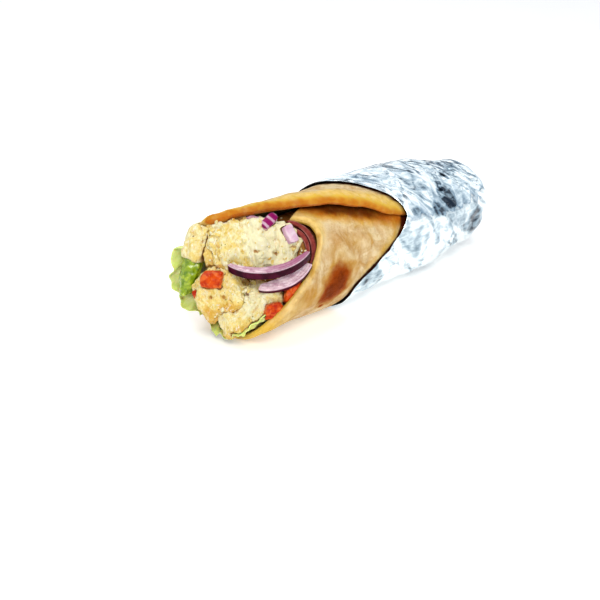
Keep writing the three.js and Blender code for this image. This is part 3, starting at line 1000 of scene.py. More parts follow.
@dataclass(frozen=True)
class RollForm:
    """The shape that every layer of the roll follows."""

    outer: float = 29.0
    straight_end: float = 20.0
    tail_end: float = 99.0
    tail_radius: float = 19.0
    cap_start: float = 79.0
    axis: float = 27.7
    gap: float = 0.4
    bread: float = 2.6
    bread_radius: float = 27.9
    bread_end: float = 78.5
    rim: float = -80.0
    cut_back: float = 39.0
    bead: float = 2.2
    lift: float = 3.2
    foil: float = 0.8
    tongue: float = 1.8
    flap_corner: float = -73.5
    flap_corner_angle: float = 97.0
    flap_knee: float = 11.0
    flap_knee_angle: float = 31.0
    tuck: float = 434.0
    tuck_climb: float = 31.0
    tuck_reach: float = 47.0
    foil_dip_angle: float = 30.0
    foil_dip: float = 28.0

    @property
    def step(self) -> float:
        """How far the spiral climbs in one turn."""
        return self.bread + self.gap

    def round_end(self, x: Array, end: float) -> Array:
        """Fall of a round tail to zero at end, from 1 where the tail rounds off."""
        past = np.clip((x - self.cap_start) / (end - self.cap_start), 0, 1)
        return np.sqrt(1 - past**2)

    def narrowing(self, x: Array) -> Array:
        """How much thinner the roll is at x than at its mouth.

        Args:
            x: distance along the roll.

        Returns:
            Millimetres, one a place.
        """
        span = self.tail_end - self.straight_end
        along = np.clip((x - self.straight_end) / span, 0, (self.cap_start - self.straight_end) / span)
        return (self.outer - self.tail_radius) * along**1.6

    def axis_height(self, x: Array) -> Array:
        """Height of the roll's axis at x."""
        return self.axis - self.narrowing(x) * 0.5

    def sway(self, x: Array, angle: Array) -> Array:
        """Slow unevenness that every layer shares."""
        a = radians(angle)
        return 0.45 * np.sin(x * 0.07 + 2 * a) + 0.35 * np.sin(x * 0.11 - 3 * a + 1.3)

    def flap_angle(self, x: Array) -> Array:
        """Angle of the flap's free edge.

        Args:
            x: distance along the roll.

        Returns:
            Degrees, one a place.
        """
        x = np.asarray(x, float)
        corner, knee = self.flap_corner, self.flap_knee
        brim, span = corner - self.rim, knee - corner
        fallen = self.flap_corner_angle - self.flap_knee_angle
        tip = self.flap_corner_angle + 20 * (np.clip(corner - x, 0, brim) / brim) ** 2
        middle = self.flap_corner_angle - fallen * (np.clip(x - corner, 0, span) / span) ** 1.12
        tail = self.flap_knee_angle - 11 * (1 - np.exp(np.minimum(knee - x, 0) / 15))
        return np.where(x < corner, tip, np.where(x < knee, middle, tail))

    def tuck_angle(self, x: Array) -> Array:
        """Angle of the sheet's hidden inner edge, more than a turn on."""
        share = np.minimum(self.tuck_reach, np.maximum(0, -x)) / self.tuck_reach
        return self.tuck + self.tuck_climb * (1 - share**1.5)

    def rim_x(self, turn: Array) -> Array:
        """Mouth rim along the unrolled sheet."""
        return self.rim + self.cut_back * smooth(turn, 304, 410) - 5.5 * smooth(turn, 414, self.tuck)

    def layer_lift(self, turn: Array, x: Array) -> Array:
        """Height of the spiral over its mean radius."""
        return self.step * (0.5 - (turn - self.flap_angle(x)) / 360)

    def lip_lift(self, x: Array, distance: Array) -> Array:
        """How far the flap stands off the layer below."""
        here = self.lift * (0.75 + 0.25 * smooth(x, -60, -38)) * fall(x, -8, 14)
        return here * fall(distance, 0, 26)

    def lip_bead(self, x: Array, distance: Array) -> Array:
        """How much thicker the flap's free edge is."""
        return self.bead * fall(x, 2, 18) * smooth(distance, -2, 2) * fall(distance, 3, 10)

    def tongue_bead(self, from_rim: Array, turn: Array) -> Array:
        """How much thicker the inner layer's corner at the mouth is."""
        return self.tongue * fall(from_rim, 2, 8) * smooth(turn, 385, 420)

    def arc(self, degrees: Array) -> Array:
        """Length of bread over an angle."""
        return radians(degrees) * self.bread_radius

    def degrees(self, arc: Array) -> Array:
        """Angle that a length of bread takes."""
        return np.asarray(arc, float) / self.arc(1.0)

    def radius(self, x: Array, angle: Array) -> Array:
        """Mean outer radius of the bread."""
        return self.bread_radius + self.sway(x, angle) - self.narrowing(x)

    def bread_outside(self, x: Array, angle: Array) -> Array:
        """Outermost bread surface at an angle.

        Args:
            x: distance along the roll.
            angle: degrees, from the near side upward.

        Returns:
            Distances from the axis.
        """
        past = (angle - self.flap_angle(x)) % 360
        turned = past * fall(past, 330, 360)
        distance = self.arc(turned)
        raised = self.lip_lift(x, distance) + 0.4 * self.lip_bead(x, np.maximum(3, distance))
        return self.radius(x, angle) + self.step * (0.5 - turned / 360) + raised

    def bread_floor(self, x: Array) -> Array:
        """Height of the bread's underside: on the floor in front, on the foil behind."""
        return (self.foil + self.gap) * smooth(x, -42, -33)

    def foil_rim(self, angle: Array) -> Array:
        """Where the foil starts at an angle, with its V on the near side.

        Args:
            angle: degrees, from the near side upward.

        Returns:
            Distances along the roll.
        """
        off = (angle - self.foil_dip_angle + 180) % 360 - 180
        reach = np.where(off < 0, 60, 80)
        power = np.where(off < 0, 0.8, 1.2)
        dip = np.maximum(0, 0.5 + 0.5 * np.cos(math.pi * np.minimum(1, np.abs(off) / reach))) ** power
        return -18 + 6 * np.sin(radians(angle)) + self.foil_dip * dip

    def place(self, x: Array, angle: Array, radius: Array) -> Array:
        """Places on the roll.

        Args:
            x: distance along it.
            angle: degrees, from the near side upward.
            radius: distance from its axis.

        Returns:
            One place a row of the last axis.
        """
        a = radians(angle)
        return np.stack([x, -radius * np.cos(a), self.axis_height(x) + radius * np.sin(a)], -1)


@dataclass(frozen=True)
class MouthFrame:
    """The frame in which the filling's pieces lie: x right across the mouth, y up, z out of it."""

    azimuth: float = 46.0
    elevation: float = 24.0
    height: float = 28.2

    @property
    def axes(self) -> Array:
        """Its three axes, one row each.

        Returns:
            Three rows of three.
        """
        turn, rise = math.radians(self.azimuth), math.radians(self.elevation)
        right = np.array([math.cos(turn), -math.sin(turn), 0.0])
        out = np.array([-math.sin(turn) * math.cos(rise), -math.cos(turn) * math.cos(rise), math.sin(rise)])
        return np.array([right, np.cross(out, right), out])

    def inside(self, points: Array) -> Array:
        """Places of the roll's frame as seen in this one."""
        return (points - [0, 0, self.height]) @ self.axes.T

    def outside(self, points: Array) -> Array:
        """Places of this frame as places in the roll's."""
        return points @ self.axes + [0, 0, self.height]


# ---- The flatbread ----


@dataclass(frozen=True)
class Spot:
    """A spot on the bread's outside: toasted, or a darker stroke."""

    x: float
    turn: float
    along: float
    around: float
    strength: float
    tilt: float = 0.0


@dataclass(frozen=True)
class Fold:
    """A soft ridge or hollow pressed into the bread between two places."""

    start: tuple[float, float]
    end: tuple[float, float]
    width: float
    height: float


@dataclass
class Sheet:
    """The unrolled bread: one number a grid point each, lines from the rim by lines from the flap."""

    x: Array
    turn: Array
    from_rim: Array
    from_flap: Array
    swell: Array
    blister: Array
    ragged: Array
    drifting: Array
    ripple: Array


@dataclass
class Flatbread:
    """The rolled flatbread with its lifted golden flap."""

    form: RollForm
    finish: BreadFinish
    columns: int = 250
    rows: int = 138
    lip_lines: tuple[float, ...] = (0, 0.2, 0.5, 0.9, 1.4, 2.0, 2.7, 3.5, 4.4, 5.3, 6.3, 7.4, 8.6, 9.8)
    tuck_lines: tuple[float, ...] = (0, 0.3, 0.8, 1.5)
    rim_lines: tuple[float, ...] = (0, 0.2, 0.5, 0.9, 1.4, 2.0, 2.7)
    seen_length: float = 66.0
    seen_share: float = 0.8
    shown: tuple[float, float] = (318, 420)
    thinnest: float = 0.12
    scattered: int = 70
    scattered_seed: int = 11
    spots: tuple[Spot, ...] = (
        Spot(-34.0, 345, 14.0, 15.5, 0.92, -0.35),
        Spot(-38.5, 339, 11.0, 13.0, 0.95, -0.4),
        Spot(-29.5, 360, 5.5, 5.5, 0.55, 0.3),
        Spot(-54.0, 345, 7.5, 10.0, 0.36, 0.2),
        Spot(-10.5, 379, 3.0, 5.5, 0.2, 0.2),
        Spot(2.0, 381, 3.0, 7.0, 0.2),
        Spot(-17.0, 398, 7.0, 2.2, 0.14, 0.2),
    )
    # Darker strokes: partly the bread's colour, partly painted shade along its folds and in the panel's
    # middle.
    darker: tuple[Spot, ...] = (
        Spot(-31.0, 393, 9.0, 8.0, 0.75, 0.6),
        Spot(-24.0, 379, 4.0, 8.0, 0.6, 0.5),
        Spot(-20.0, 355, 2.4, 10.0, 0.85, -0.25),
        Spot(-15.0, 386, 2.4, 8.0, 0.6, 0.4),
        Spot(-41.0, 378, 5.0, 5.0, 0.5),
        Spot(-3.5, 386, 2.0, 9.0, 0.5, 0.3),
        Spot(-12.0, 362, 2.0, 7.0, 0.5, -0.2),
        Spot(-48.0, 330, 9.0, 6.0, 0.6, 0.1),
    )
    folds: tuple[Fold, ...] = (
        Fold((-34, 404), (-24, 366), 2.4, 0.55),
        Fold((-29, 406), (-14, 358), 3.0, -0.5),
        Fold((-22, 402), (-8, 362), 2.6, 0.5),
        Fold((-17, 334), (-10, 366), 2.0, -0.6),
        Fold((-12, 398), (2, 376), 2.0, -0.4),
        Fold((-4, 396), (3, 374), 1.8, 0.4),
        Fold((-38, 350), (-20, 326), 3.0, 0.5),
        Fold((-60, 250), (-30, 215), 4.0, 0.5),
        Fold((-66, 200), (-34, 170), 3.6, -0.5),
        Fold((-58, 150), (-30, 132), 3.4, 0.4),
    )

    def column_line(self, column: Array, x: Array) -> Array:
        """Distance of a grid column from the flap's edge, where it crosses x.

        Args:
            column: numbers of grid columns.
            x: distance along the roll.

        Returns:
            Millimetres of bread.
        """
        length = self.form.arc(self.form.tuck_angle(x) - self.form.flap_angle(x))
        first, last = self.lip_lines[-1], self.tuck_lines[-1]
        begin, end = len(self.lip_lines) - 1, self.columns - len(self.tuck_lines)
        share = (column - begin) / (end - begin)
        middle = first + (length - last - first) * share
        lines = np.where(column < begin, np.take(self.lip_lines, np.minimum(column, begin)), middle)
        backward = np.clip(self.columns - 1 - column, 0, len(self.tuck_lines) - 1)
        return np.where(column > end, length - np.take(self.tuck_lines, backward), lines)

    def rim_lines_of(self, columns: Array) -> Array:
        """Where each grid column meets the mouth rim.

        Args:
            columns: numbers of grid columns.

        Returns:
            Distances along the roll.
        """
        x = np.full(len(columns), self.form.rim)
        for _ in range(40):
            turn = self.form.flap_angle(x) + self.form.degrees(self.column_line(columns, x))
            x = (x + self.form.rim_x(turn)) / 2
        return x

    def row_line(self, rows: Array, length: Array) -> Array:
        """Distance of grid rows from the rim, close together as far as the foil.

        Args:
            rows: numbers of grid rows.
            length: from rim to the bread's end, one a column.

        Returns:
            Millimetres, one row a grid row.
        """
        near = np.array(self.rim_lines)
        begin = len(near) - 1
        share = np.clip((rows - begin) / (self.rows - 1 - begin), 0, 1)[:, None]
        seen = near[-1] + (self.seen_length - near[-1]) * share / self.seen_share
        hidden = (length - self.seen_length) * (share - self.seen_share) / (1 - self.seen_share)
        distance = np.where(share < self.seen_share, seen, self.seen_length + hidden)
        return np.where((rows < begin)[:, None], near[np.minimum(rows, begin)][:, None], distance)

    def all_spots(self) -> list[Spot]:
        """The listed spots, and small scattered ones, fewer on the side shown.

        Returns:
            The spots.
        """
        draw = np.random.default_rng(self.scattered_seed)
        spots = list(self.spots)
        for _ in range(self.scattered):
            x, share = draw.uniform(-76, -10), draw.uniform(0.06, 0.98)
            size, flat, strong = draw.uniform(1.2, 4.2), draw.uniform(0.6, 1.8), draw.uniform(0.15, 0.75)
            tilt = draw.uniform(-0.8, 0.8)
            turn = float(self.form.flap_angle(x)) + 360 * share
            shown = self.shown[0] < turn < self.shown[1]
            if shown and draw.random() < 0.75:
                continue
            strength = strong * (0.4 if shown else 1.0)
            spots.append(Spot(x, turn, size * flat, size, strength, tilt))
        return spots

    def spotted(self, spots: list[Spot], x: Array, turn: Array, ragged: Array) -> Array:
        """How strongly spots cover the outside, from 0 to 1.

        Args:
            spots: the spots.
            x: distance along the roll.
            turn: angle along the unrolled sheet.
            ragged: noise that frays the spots' edges.

        Returns:
            One share a place.
        """
        found = np.zeros(x.shape)
        for spot in spots:
            across, along = self.form.arc(turn - spot.turn), x - spot.x
            tilted_along = along * math.cos(spot.tilt) + across * math.sin(spot.tilt)
            tilted_across = across * math.cos(spot.tilt) - along * math.sin(spot.tilt)
            away = np.hypot(tilted_along / spot.along, tilted_across / spot.around) * (1 + 0.2 * ragged)
            found = np.maximum(found, spot.strength * fall(away, 0.15, 1.2))
        return found

    def pressed(self, x: Array, turn: Array) -> Array:
        """Height of the soft folds.

        Args:
            x: distance along the roll.
            turn: angle along the unrolled sheet.

        Returns:
            Millimetres, one a place.
        """
        total = np.zeros(x.shape)
        for fold in self.folds:
            start_x, start_y = fold.start[0], self.form.arc(fold.start[1])
            long_x, long_y = fold.end[0] - start_x, self.form.arc(fold.end[1]) - start_y
            from_x, from_y = x - start_x, self.form.arc(turn) - start_y
            share = np.clip((from_x * long_x + from_y * long_y) / (long_x**2 + long_y**2), 0, 1)
            away = np.hypot(from_x - share * long_x, from_y - share * long_y)
            fade = np.sin(math.pi * np.clip(share, 0.04, 0.96)) ** 0.5
            total += fold.height * fade * np.exp(-((away / fold.width) ** 2))
        return total

    def sheet(self) -> Sheet:
        """Lays out the unrolled bread, with the noise that its shape and its colours share.

        Returns:
            Its grid and noise.
        """
        form = self.form
        columns, rows = np.arange(self.columns), np.arange(self.rows)
        start = self.rim_lines_of(columns)
        from_rim = self.row_line(rows, (form.bread_end - start)[None, :])
        x = start[None, :] + from_rim
        from_flap = self.column_line(np.broadcast_to(columns[None, :], x.shape), x)
        turn = form.flap_angle(x) + form.degrees(from_flap)
        along = np.stack([x.ravel(), 0 * x.ravel(), 0 * x.ravel()], -1)
        wander = 1.3 * Grain(23).layers(along, 12, 3, 0.4).reshape(x.shape)
        turn = turn + form.degrees(wander * fall(from_flap, 0, 9) * smooth(from_rim, 0, 6))
        base = form.place(x, turn, form.radius(x, turn) + form.layer_lift(turn, x)).reshape(-1, 3)
        swell, blister, ragged, drifting = (
            Grain(seed).layers(base, size, count).reshape(x.shape)
            for seed, size, count in ((3, 12, 2), (5, 4.2, 3), (8, 3.2, 3), (9, 7.0, 2))
        )
        ripple = 0.5 * Grain(21).waves(base * [1, 0.3, 0.3], 7).reshape(x.shape)
        return Sheet(x, turn, from_rim, from_flap, swell, blister, ragged, drifting, ripple)

    def faces_of(self, sheet: Sheet) -> list[Array]:
        """Places of the bread's outside and inside.

        Args:
            sheet: the unrolled bread.

        Returns:
            Two lists of places, outside first.
        """
        form, x, turn = self.form, sheet.x, sheet.turn
        from_rim, from_flap, swell = sheet.from_rim, sheet.from_flap, sheet.swell
        rim_bead = fall(from_rim, 1.5, 6) * smooth(turn, 290, 330) * fall(turn, 385, 415)
        bead = form.lip_bead(x, from_flap) * (1 + 0.4 * swell) + form.tongue_bead(from_rim, turn) + rim_bead
        full = form.bread + bead
        edge = np.minimum(np.minimum(from_rim, from_flap), form.arc(form.tuck_angle(x) - turn))
        inward = np.clip(edge / (full / 2), 0, 1)
        thick = full * np.maximum(self.thinnest, np.sqrt(1 - (1 - inward) ** 2))
        curl = 0.9 * fall(from_rim, 0, 5) * smooth(turn, 350, 395) * fall(turn, 425, 434)
        outside = form.radius(x, turn) + form.layer_lift(turn, x) + form.lip_lift(x, from_flap)
        outside = outside + bead * 0.4 + curl
        free = fall(x - form.foil_rim(turn), -3.5, 0.5)
        relief = 0.35 * swell + 0.16 * sheet.blister + self.pressed(x, turn)
        relief = relief * free * smooth(edge, 0, 2.5) + 0.2 * swell * free
        shifted = x + sheet.ripple * fall(from_rim, 0, 4) * 0.8
        layers = []
        for front in (True, False):
            inset = (full - thick) / 2 if front else (full + thick) / 2
            lowest = form.bread_floor(x) + (0 if front else thick)
            wavy = relief if front else 0.4 * relief
            points = form.place(shifted, turn, outside - inset + wavy)
            points[..., 2] = np.maximum(points[..., 2], lowest)
            layers.append(points.reshape(-1, 3))
        return layers

    def colours_of(self, sheet: Sheet) -> dict[str, tuple[Array, Array]]:
        """How strongly each of the finish's colours shows.

        Args:
            sheet: the unrolled bread.

        Returns:
            For each value that the finish reads, the shares outside and inside.
        """
        form, x, turn = self.form, sheet.x, sheet.turn
        from_rim, from_flap = sheet.from_rim, sheet.from_flap
        swell, ragged, fraying = sheet.swell, sheet.ragged, 1.2 * sheet.drifting + 0.3 * sheet.ragged
        below = -form.arc(turn - form.flap_angle(x) - 360)
        into_foil = x - form.foil_rim(turn)

        # where the pan left it golden
        lip = fall(from_flap + 2.2 * ragged, 6.0, 12)
        broad = fall(x, -60, -38) * fall(from_flap, 14, 26) * 0.85
        near_foil = smooth(into_foil + 1.6 * ragged, -9, -1.5) * smooth(turn, 330, 372) * 0.55
        inner_rim = fall(from_rim + 0.8 * ragged, 1.5, 6.5) * fall(turn, 318, 352)
        rim_gold = fall(from_rim, 0.4, 3.5) * 0.35
        tongue = fall(from_rim, 3, 9) * smooth(turn, 385, 412) * 0.7
        tucked = fall(below + 1.2 * ragged, 2.5, 10) * smooth(x, -46, -38)
        lower_side = fall(turn, 322, 356) * fall(from_rim + 2 * ragged, 8, 24) * 0.6
        lower_side *= smooth(turn, 250, 300)
        edges = [lip, broad, tucked, near_foil, inner_rim * 0.9, rim_gold, tongue, lower_side]
        golden = np.clip(np.maximum.reduce(edges) + 0.15 * swell, 0, 1)
        inside = 0.9 * fall(from_rim, 3, 10)

        # the lip's crest, the tongue and the rim's inner strip in painted highlight, and amber on and under
        # the lip's edge, partly toasted colour and partly painted shade
        crest = smooth(from_flap, 2.6, 5.0) * fall(from_flap + 1.5 * ragged, 7.0, 12.0) * 0.75
        rim_light = fall(from_rim + 0.8 * ragged, 2.5, 6.5) * smooth(turn, 318, 350) * 0.6
        # Toasted amber with painted shade, on the flap's underside and on the layer just beneath it.
        under = fall(from_flap + 0.5 * ragged, 0.4, 3.2)
        beneath = fall(below + 0.8 * ragged, 1.8, 8.5) * 0.9 * smooth(from_rim, 4, 10)
        amber_and_shade = np.clip(np.maximum(under * 0.8, beneath), 0, 1)

        # toasted spots, and darker strokes that are partly the bread's colour and partly painted shade along
        # its folds, on the outermost layer only
        on_panel = smooth(below, -1, 4) * smooth(from_flap, 2, 6)
        toast = self.spotted(self.all_spots(), x, turn, fraying) * on_panel
        darker = self.spotted(self.darker, x, turn, fraying) * on_panel
        rough_rim = 0.35 * fall(from_rim + 0.8 * ragged, 0.5, 2.0) * smooth(swell, -0.1, 0.4)

        # the shadows under the flap and along the foil
        foil_line = smooth(into_foil + 0.5 * ragged, -0.7, 0.4)
        gap = fall(below + 0.9 * ragged, 0.4, 5.4) * 0.85 * smooth(from_rim, 7, 14) * fall(x, -6, 8)
        nothing = np.zeros(x.shape)
        return {
            "golden": (golden, np.maximum(0.3 * golden, inside)),
            "painted_highlight": (np.maximum.reduce([crest, rim_light, tongue]), nothing),
            "amber_and_shade": (amber_and_shade, under * 0.9),
            "toast": (np.maximum(toast, rough_rim), nothing),
            "dough": (darker, 0.8 - 0.8 * inside),
            "shade": (np.maximum(foil_line, gap), foil_line),
        }

    def build(self) -> Piece:
        """Builds and dresses the bread.

        Returns:
            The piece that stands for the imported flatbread.
        """
        sheet = self.sheet()
        points = np.concatenate(self.faces_of(sheet))
        piece = make_piece("rolled_flatbread", points, shell_faces(self.rows, self.columns))
        for name, shares in self.colours_of(sheet).items():
            paint(piece, name, np.stack(shares))
        settle(piece, ("flatbread",), "bread", [self.finish.material()])
        return piece


# ---- The foil ----


@dataclass
class FoilWrap:
    """Foil pressed round the closed half of the roll."""

    form: RollForm
    finish: FoilFinish
    columns: int = 330
    rows: int = 180
    inside_rows: int = 40
    sheet: float = 0.2
    closing: float = 1.0
    closest: float = 0.05
    loose: float = 0.35
    twist: float = 180.0
    dents: tuple[tuple[float, float, float], ...] = (
        (70, 63, 8),
        (50, 33, 9),
        (39, 24, 6),
        (80, 50, 7),
        (60, 60, 6),
        (58, -20, 10),
        (40, 200, 11),
        (62, 140, 12),
    )

    def crumple(self, x: Array, angle: Array) -> Array:
        """Large crumples, always outward and none underneath.

        Args:
            x: distance along the roll.
            angle: degrees, from the near side upward.

        Returns:
            Heights in millimetres.
        """
        a = radians(angle)

        def ridge(value: Array) -> Array:
            """Sharp ridges, 1 along their crests."""
            return 1 - np.abs(np.sin(value))

        folds = 0.5 * ridge(x * 0.19 + 2 * a + 1.5 * np.sin(3 * a))
        folds += 0.3 * ridge(x * 0.33 - 4 * a + np.sin(x * 0.1))
        folds += 0.2 * ridge(7 * a + x * 0.12)
        pleats = 0.5 + 0.5 * np.sin(9 * a + 2 * np.sin(2 * a))
        gather = smooth(x, 66, 90)
        return 1.5 * (folds * (1 - 0.5 * gather) + 0.9 * pleats * gather)

    def spiral(self, x: Array, angle: Array, bend: float) -> tuple[Array, Array]:
        """Distance along and share of a turn, both slanted as the foil was twisted on."""
        slant = x / self.twist + bend * np.sin(x * 0.13 + 4 * radians(angle))
        return x.ravel(), ((angle / 360 + slant) % 1).ravel()

    def dented(self, x: Array, angle: Array) -> Array:
        """How close each place lies to a hard crumple, from 0 to 1.

        Args:
            x: distance along the roll.
            angle: degrees, from the near side upward.

        Returns:
            One share a place.
        """
        found = np.zeros(x.shape)
        for at, turn, reach in self.dents:
            across = radians((angle - turn + 180) % 360 - 180) * self.form.outer
            found = np.maximum(found, fall(np.hypot(x - at, across) / reach, 0.3, 1.0))
        return found

    def creases(self, x: Array, angle: Array) -> Array:
        """Flat facets of pressed foil, from large to small, in millimetres.

        Args:
            x: distance along the roll.
            angle: degrees, from the near side upward.

        Returns:
            One height a place.
        """
        total = 0.9 * Grain(31).facets(*self.spiral(x, angle, 0.035), 24, 15)
        total += 0.36 * Grain(37).facets(*self.spiral(x, angle, 0.07), 12, 27)
        total += 0.07 * Grain(41).facets(*self.spiral(x, angle, -0.035), 7, 51)
        hard = 0.75 * Grain(47).facets(*self.spiral(x, angle, 0), 4.4, 46)
        hard += 0.3 * Grain(49).facets(*self.spiral(x, angle, 0), 2.2, 90)
        return total.reshape(x.shape) + hard.reshape(x.shape) * self.dented(x, angle)

    def painted_reflection(self, x: Array, angle: Array) -> Array:
        """Painted reflection: how bright each facet is coloured, from 0 to 1, as if it mirrored a brighter or
        darker part of the room, darker on the near side and darkest in hard crumples.

        Args:
            x: distance along the roll.
            angle: degrees, from the near side upward.

        Returns:
            One share a place.
        """
        broad = Grain(61).facets(*self.spiral(x, angle, 0.03), 13, 22)
        fine = Grain(67).facets(*self.spiral(x, angle, 0.05), 5.5, 48)
        tiny = Grain(71).facets(*self.spiral(x, angle, 0), 2.6, 90).reshape(x.shape)
        dented = self.dented(x, angle)
        mixed = 0.6 + (0.3 * broad + 0.22 * fine).reshape(x.shape) + 0.08 * tiny
        near_side = smooth(np.cos(radians(angle)), 0.5, 0.95)
        return np.clip(mixed - 0.16 * near_side - dented * (0.26 + 0.6 * np.maximum(tiny, -0.5)), 0, 1)

    def side(self, rows: int, end: float, outer: bool) -> tuple[Array, Array]:
        """One side of the sheet.

        Args:
            rows: lines of points along the roll.
            end: where it closes at the tail.
            outer: whether it is the outside, laid from tail to rim, and not the inside, laid back.

        Returns:
            Places and painted reflection values, one row each.
        """
        form = self.form
        angle = 270 + (np.arange(self.columns) + 0.5) * (360 / self.columns)
        share = np.arange(1, rows + 1) / rows
        back = 1 - (share if outer else share[::-1])
        eased = (1 - 0.45 * back - 0.55 * np.sin(back * math.pi / 2))[:, None]
        ragged = 0.5 * np.sin(5 * radians(angle)) * np.sin(11 * radians(angle) + 1)
        rim = (form.foil_rim(angle) + ragged)[None, :]
        x = end - (end - rim) * eased
        around = np.broadcast_to(angle[None, :], x.shape)
        inner = form.bread_outside(np.minimum(x, form.cap_start), around) + form.gap
        from_bottom = np.hypot(np.cos(radians(around)), 1 + np.sin(radians(around)))
        underneath = smooth(from_bottom, 0.3, 0.75)
        from_rim = x - rim
        raised = (0.75 * self.crumple(x, around) + self.creases(x, around)) * underneath
        raised = self.loose + raised * (0.35 + 0.65 * smooth(from_rim, 0, 5))
        raised = np.maximum(self.closest, raised)
        raised = raised + 0.5 * fall(from_rim, 0, 4) * underneath
        if not outer:
            raised = self.closest + (raised - self.closest) * fall(from_rim, 2, 6)
        radius = (inner + raised - (0 if outer else self.sheet)) * form.round_end(x, end)
        points = form.place(x, around, radius)
        points[..., 2] = np.maximum(points[..., 2], 0 if outer else self.sheet)
        return points.reshape(-1, 3), self.painted_reflection(x, around).ravel()

    def build(self) -> Piece:
        """Builds and dresses the foil.

        Returns:
            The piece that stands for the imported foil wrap.
        """
        form = self.form
        inner_end = form.tail_end - self.closing
        outside, outer_reflections = self.side(self.rows, form.tail_end, True)
        inside, inner_reflections = self.side(self.inside_rows, inner_end, False)
        tip_height = float(form.axis_height(form.tail_end))
        tips = np.array([[form.tail_end, 0, tip_height], [inner_end, 0, tip_height]])
        points = np.concatenate([outside, inside, tips])
        lines = self.rows + self.inside_rows
        faces = [list(map(int, face)) for face in grid_faces(lines, self.columns, closed=True)]
        count = lines * self.columns
        for column in range(self.columns):
            following = (column + 1) % self.columns
            faces.append([count, following, column])
            last = count - self.columns
            faces.append([count + 1, last + column, last + following])
        piece = make_piece("foil_wrapper", points, faces)
        # The inside's faces take the second finish, dark grey as painted shade.
        lined = np.zeros(len(piece.data.polygons), np.int32)
        first = (self.rows - 1) * self.columns
        lined[first : (lines - 1) * self.columns] = 1
        piece.data.polygons.foreach_set("material_index", lined)
        paint(piece, "painted_reflection", np.concatenate([outer_reflections, inner_reflections, [0.5, 0.5]]))
        settle(piece, ("foil_wrap",), "foil", [self.finish.material(), self.finish.shaded_inside()])
        return piece


# ---- Lettuce ----


@dataclass
class LettuceLeaf:
    """A leaf that lines the bread, its ruffled front edge out of the mouth."""

    form: RollForm
    finish: LettuceFinish
    name: str
    node: str
    start: float
    end: float
    overhang: float
    ruffle: float
    waves: float
    flare: float
    seed: int
    thickness: float = 0.55
    leaf_end: float = 60.0
    gap: float = 0.8
    columns: int = 190
    rows: int = 110

    def build(self, neighbours: Neighbours) -> Piece:
        """Builds and dresses the leaf.

        Args:
            neighbours: what hems it in.

        Returns:
            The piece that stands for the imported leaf.
        """
        form = self.form
        u = np.broadcast_to(np.linspace(0, 1, self.columns)[None, :], (self.rows, self.columns))
        v = np.broadcast_to(np.linspace(0, 1, self.rows)[:, None], u.shape)
        angle = self.start + (self.end - self.start) * u
        fade = np.sin(math.pi * np.clip(u, 0.04, 0.96)) ** 0.4
        rim = form.rim_x(angle)
        notch = Grain(self.seed).layers(np.stack([u.ravel() * 40, v.ravel() * 2, 0 * u.ravel()], -1), 5, 3)
        front = rim - (self.overhang + 1.1 * notch.reshape(u.shape) * fall(v, 0, 0.3)) * fade
        x = front + (self.leaf_end - front) * v**2.2
        ahead = fall(x - rim, -6, 14)
        beyond = fall(x - rim, -8, -1.2)
        inside = form.radius(x, angle) + form.layer_lift(angle, x) - form.bread
        wave = self.ruffle * ahead * np.sin(self.waves * u * 2 * math.pi + x * 0.12)
        frill = np.sin(self.waves * 5.3 * u * math.pi + 2.1 * np.sin(7 * u) + x * 0.3)
        frill = 0.55 * frill * fall(x - front, 0.5, 7) * fade
        middle = inside - self.gap - self.thickness / 2 - np.abs(wave) * (1 - beyond)
        middle = middle - self.ruffle * 0.3 * ahead * (1 - beyond) + beyond * (self.flare + wave + frill)
        base = form.place(x, angle, middle).reshape(-1, 3)
        crinkle = 0.3 * Grain(self.seed + 1).layers(base, 4.5, 3).reshape(u.shape) * ahead
        layers = []
        for side in (1, -1):
            points = form.place(x, angle, middle + crinkle + side * self.thickness / 2)
            lowest = 0.4 + (0 if side > 0 else self.thickness)
            lowest = lowest + (1 - beyond) * (form.bread + form.gap + form.bread_floor(x))
            points[..., 2] = np.maximum(points[..., 2], lowest)
            layers.append(points.reshape(-1, 3))
        piece = make_piece(self.name, np.concatenate(layers), shell_faces(self.rows, self.columns))
        spread = np.abs(np.sin(self.waves * 2.1 * u * math.pi + 1.1 * np.sin(0.16 * (x - front))))
        vein = fall(spread, 0.0, 0.16) * smooth(x - front, 0.5, 5)
        margin = np.clip(1 - (x - front) / 13, 0, 1) * 0.75 + 0.12
        paint(piece, "close", neighbours.closeness(piece, LINING_SEEN_TO))
        paint(piece, "vein", np.stack([vein, vein]))
        paint(piece, "margin", np.stack([margin, margin]))
        settle(piece, (self.node,), "lettuce", [self.finish.material()])
        return piece


# ---- Chicken ----


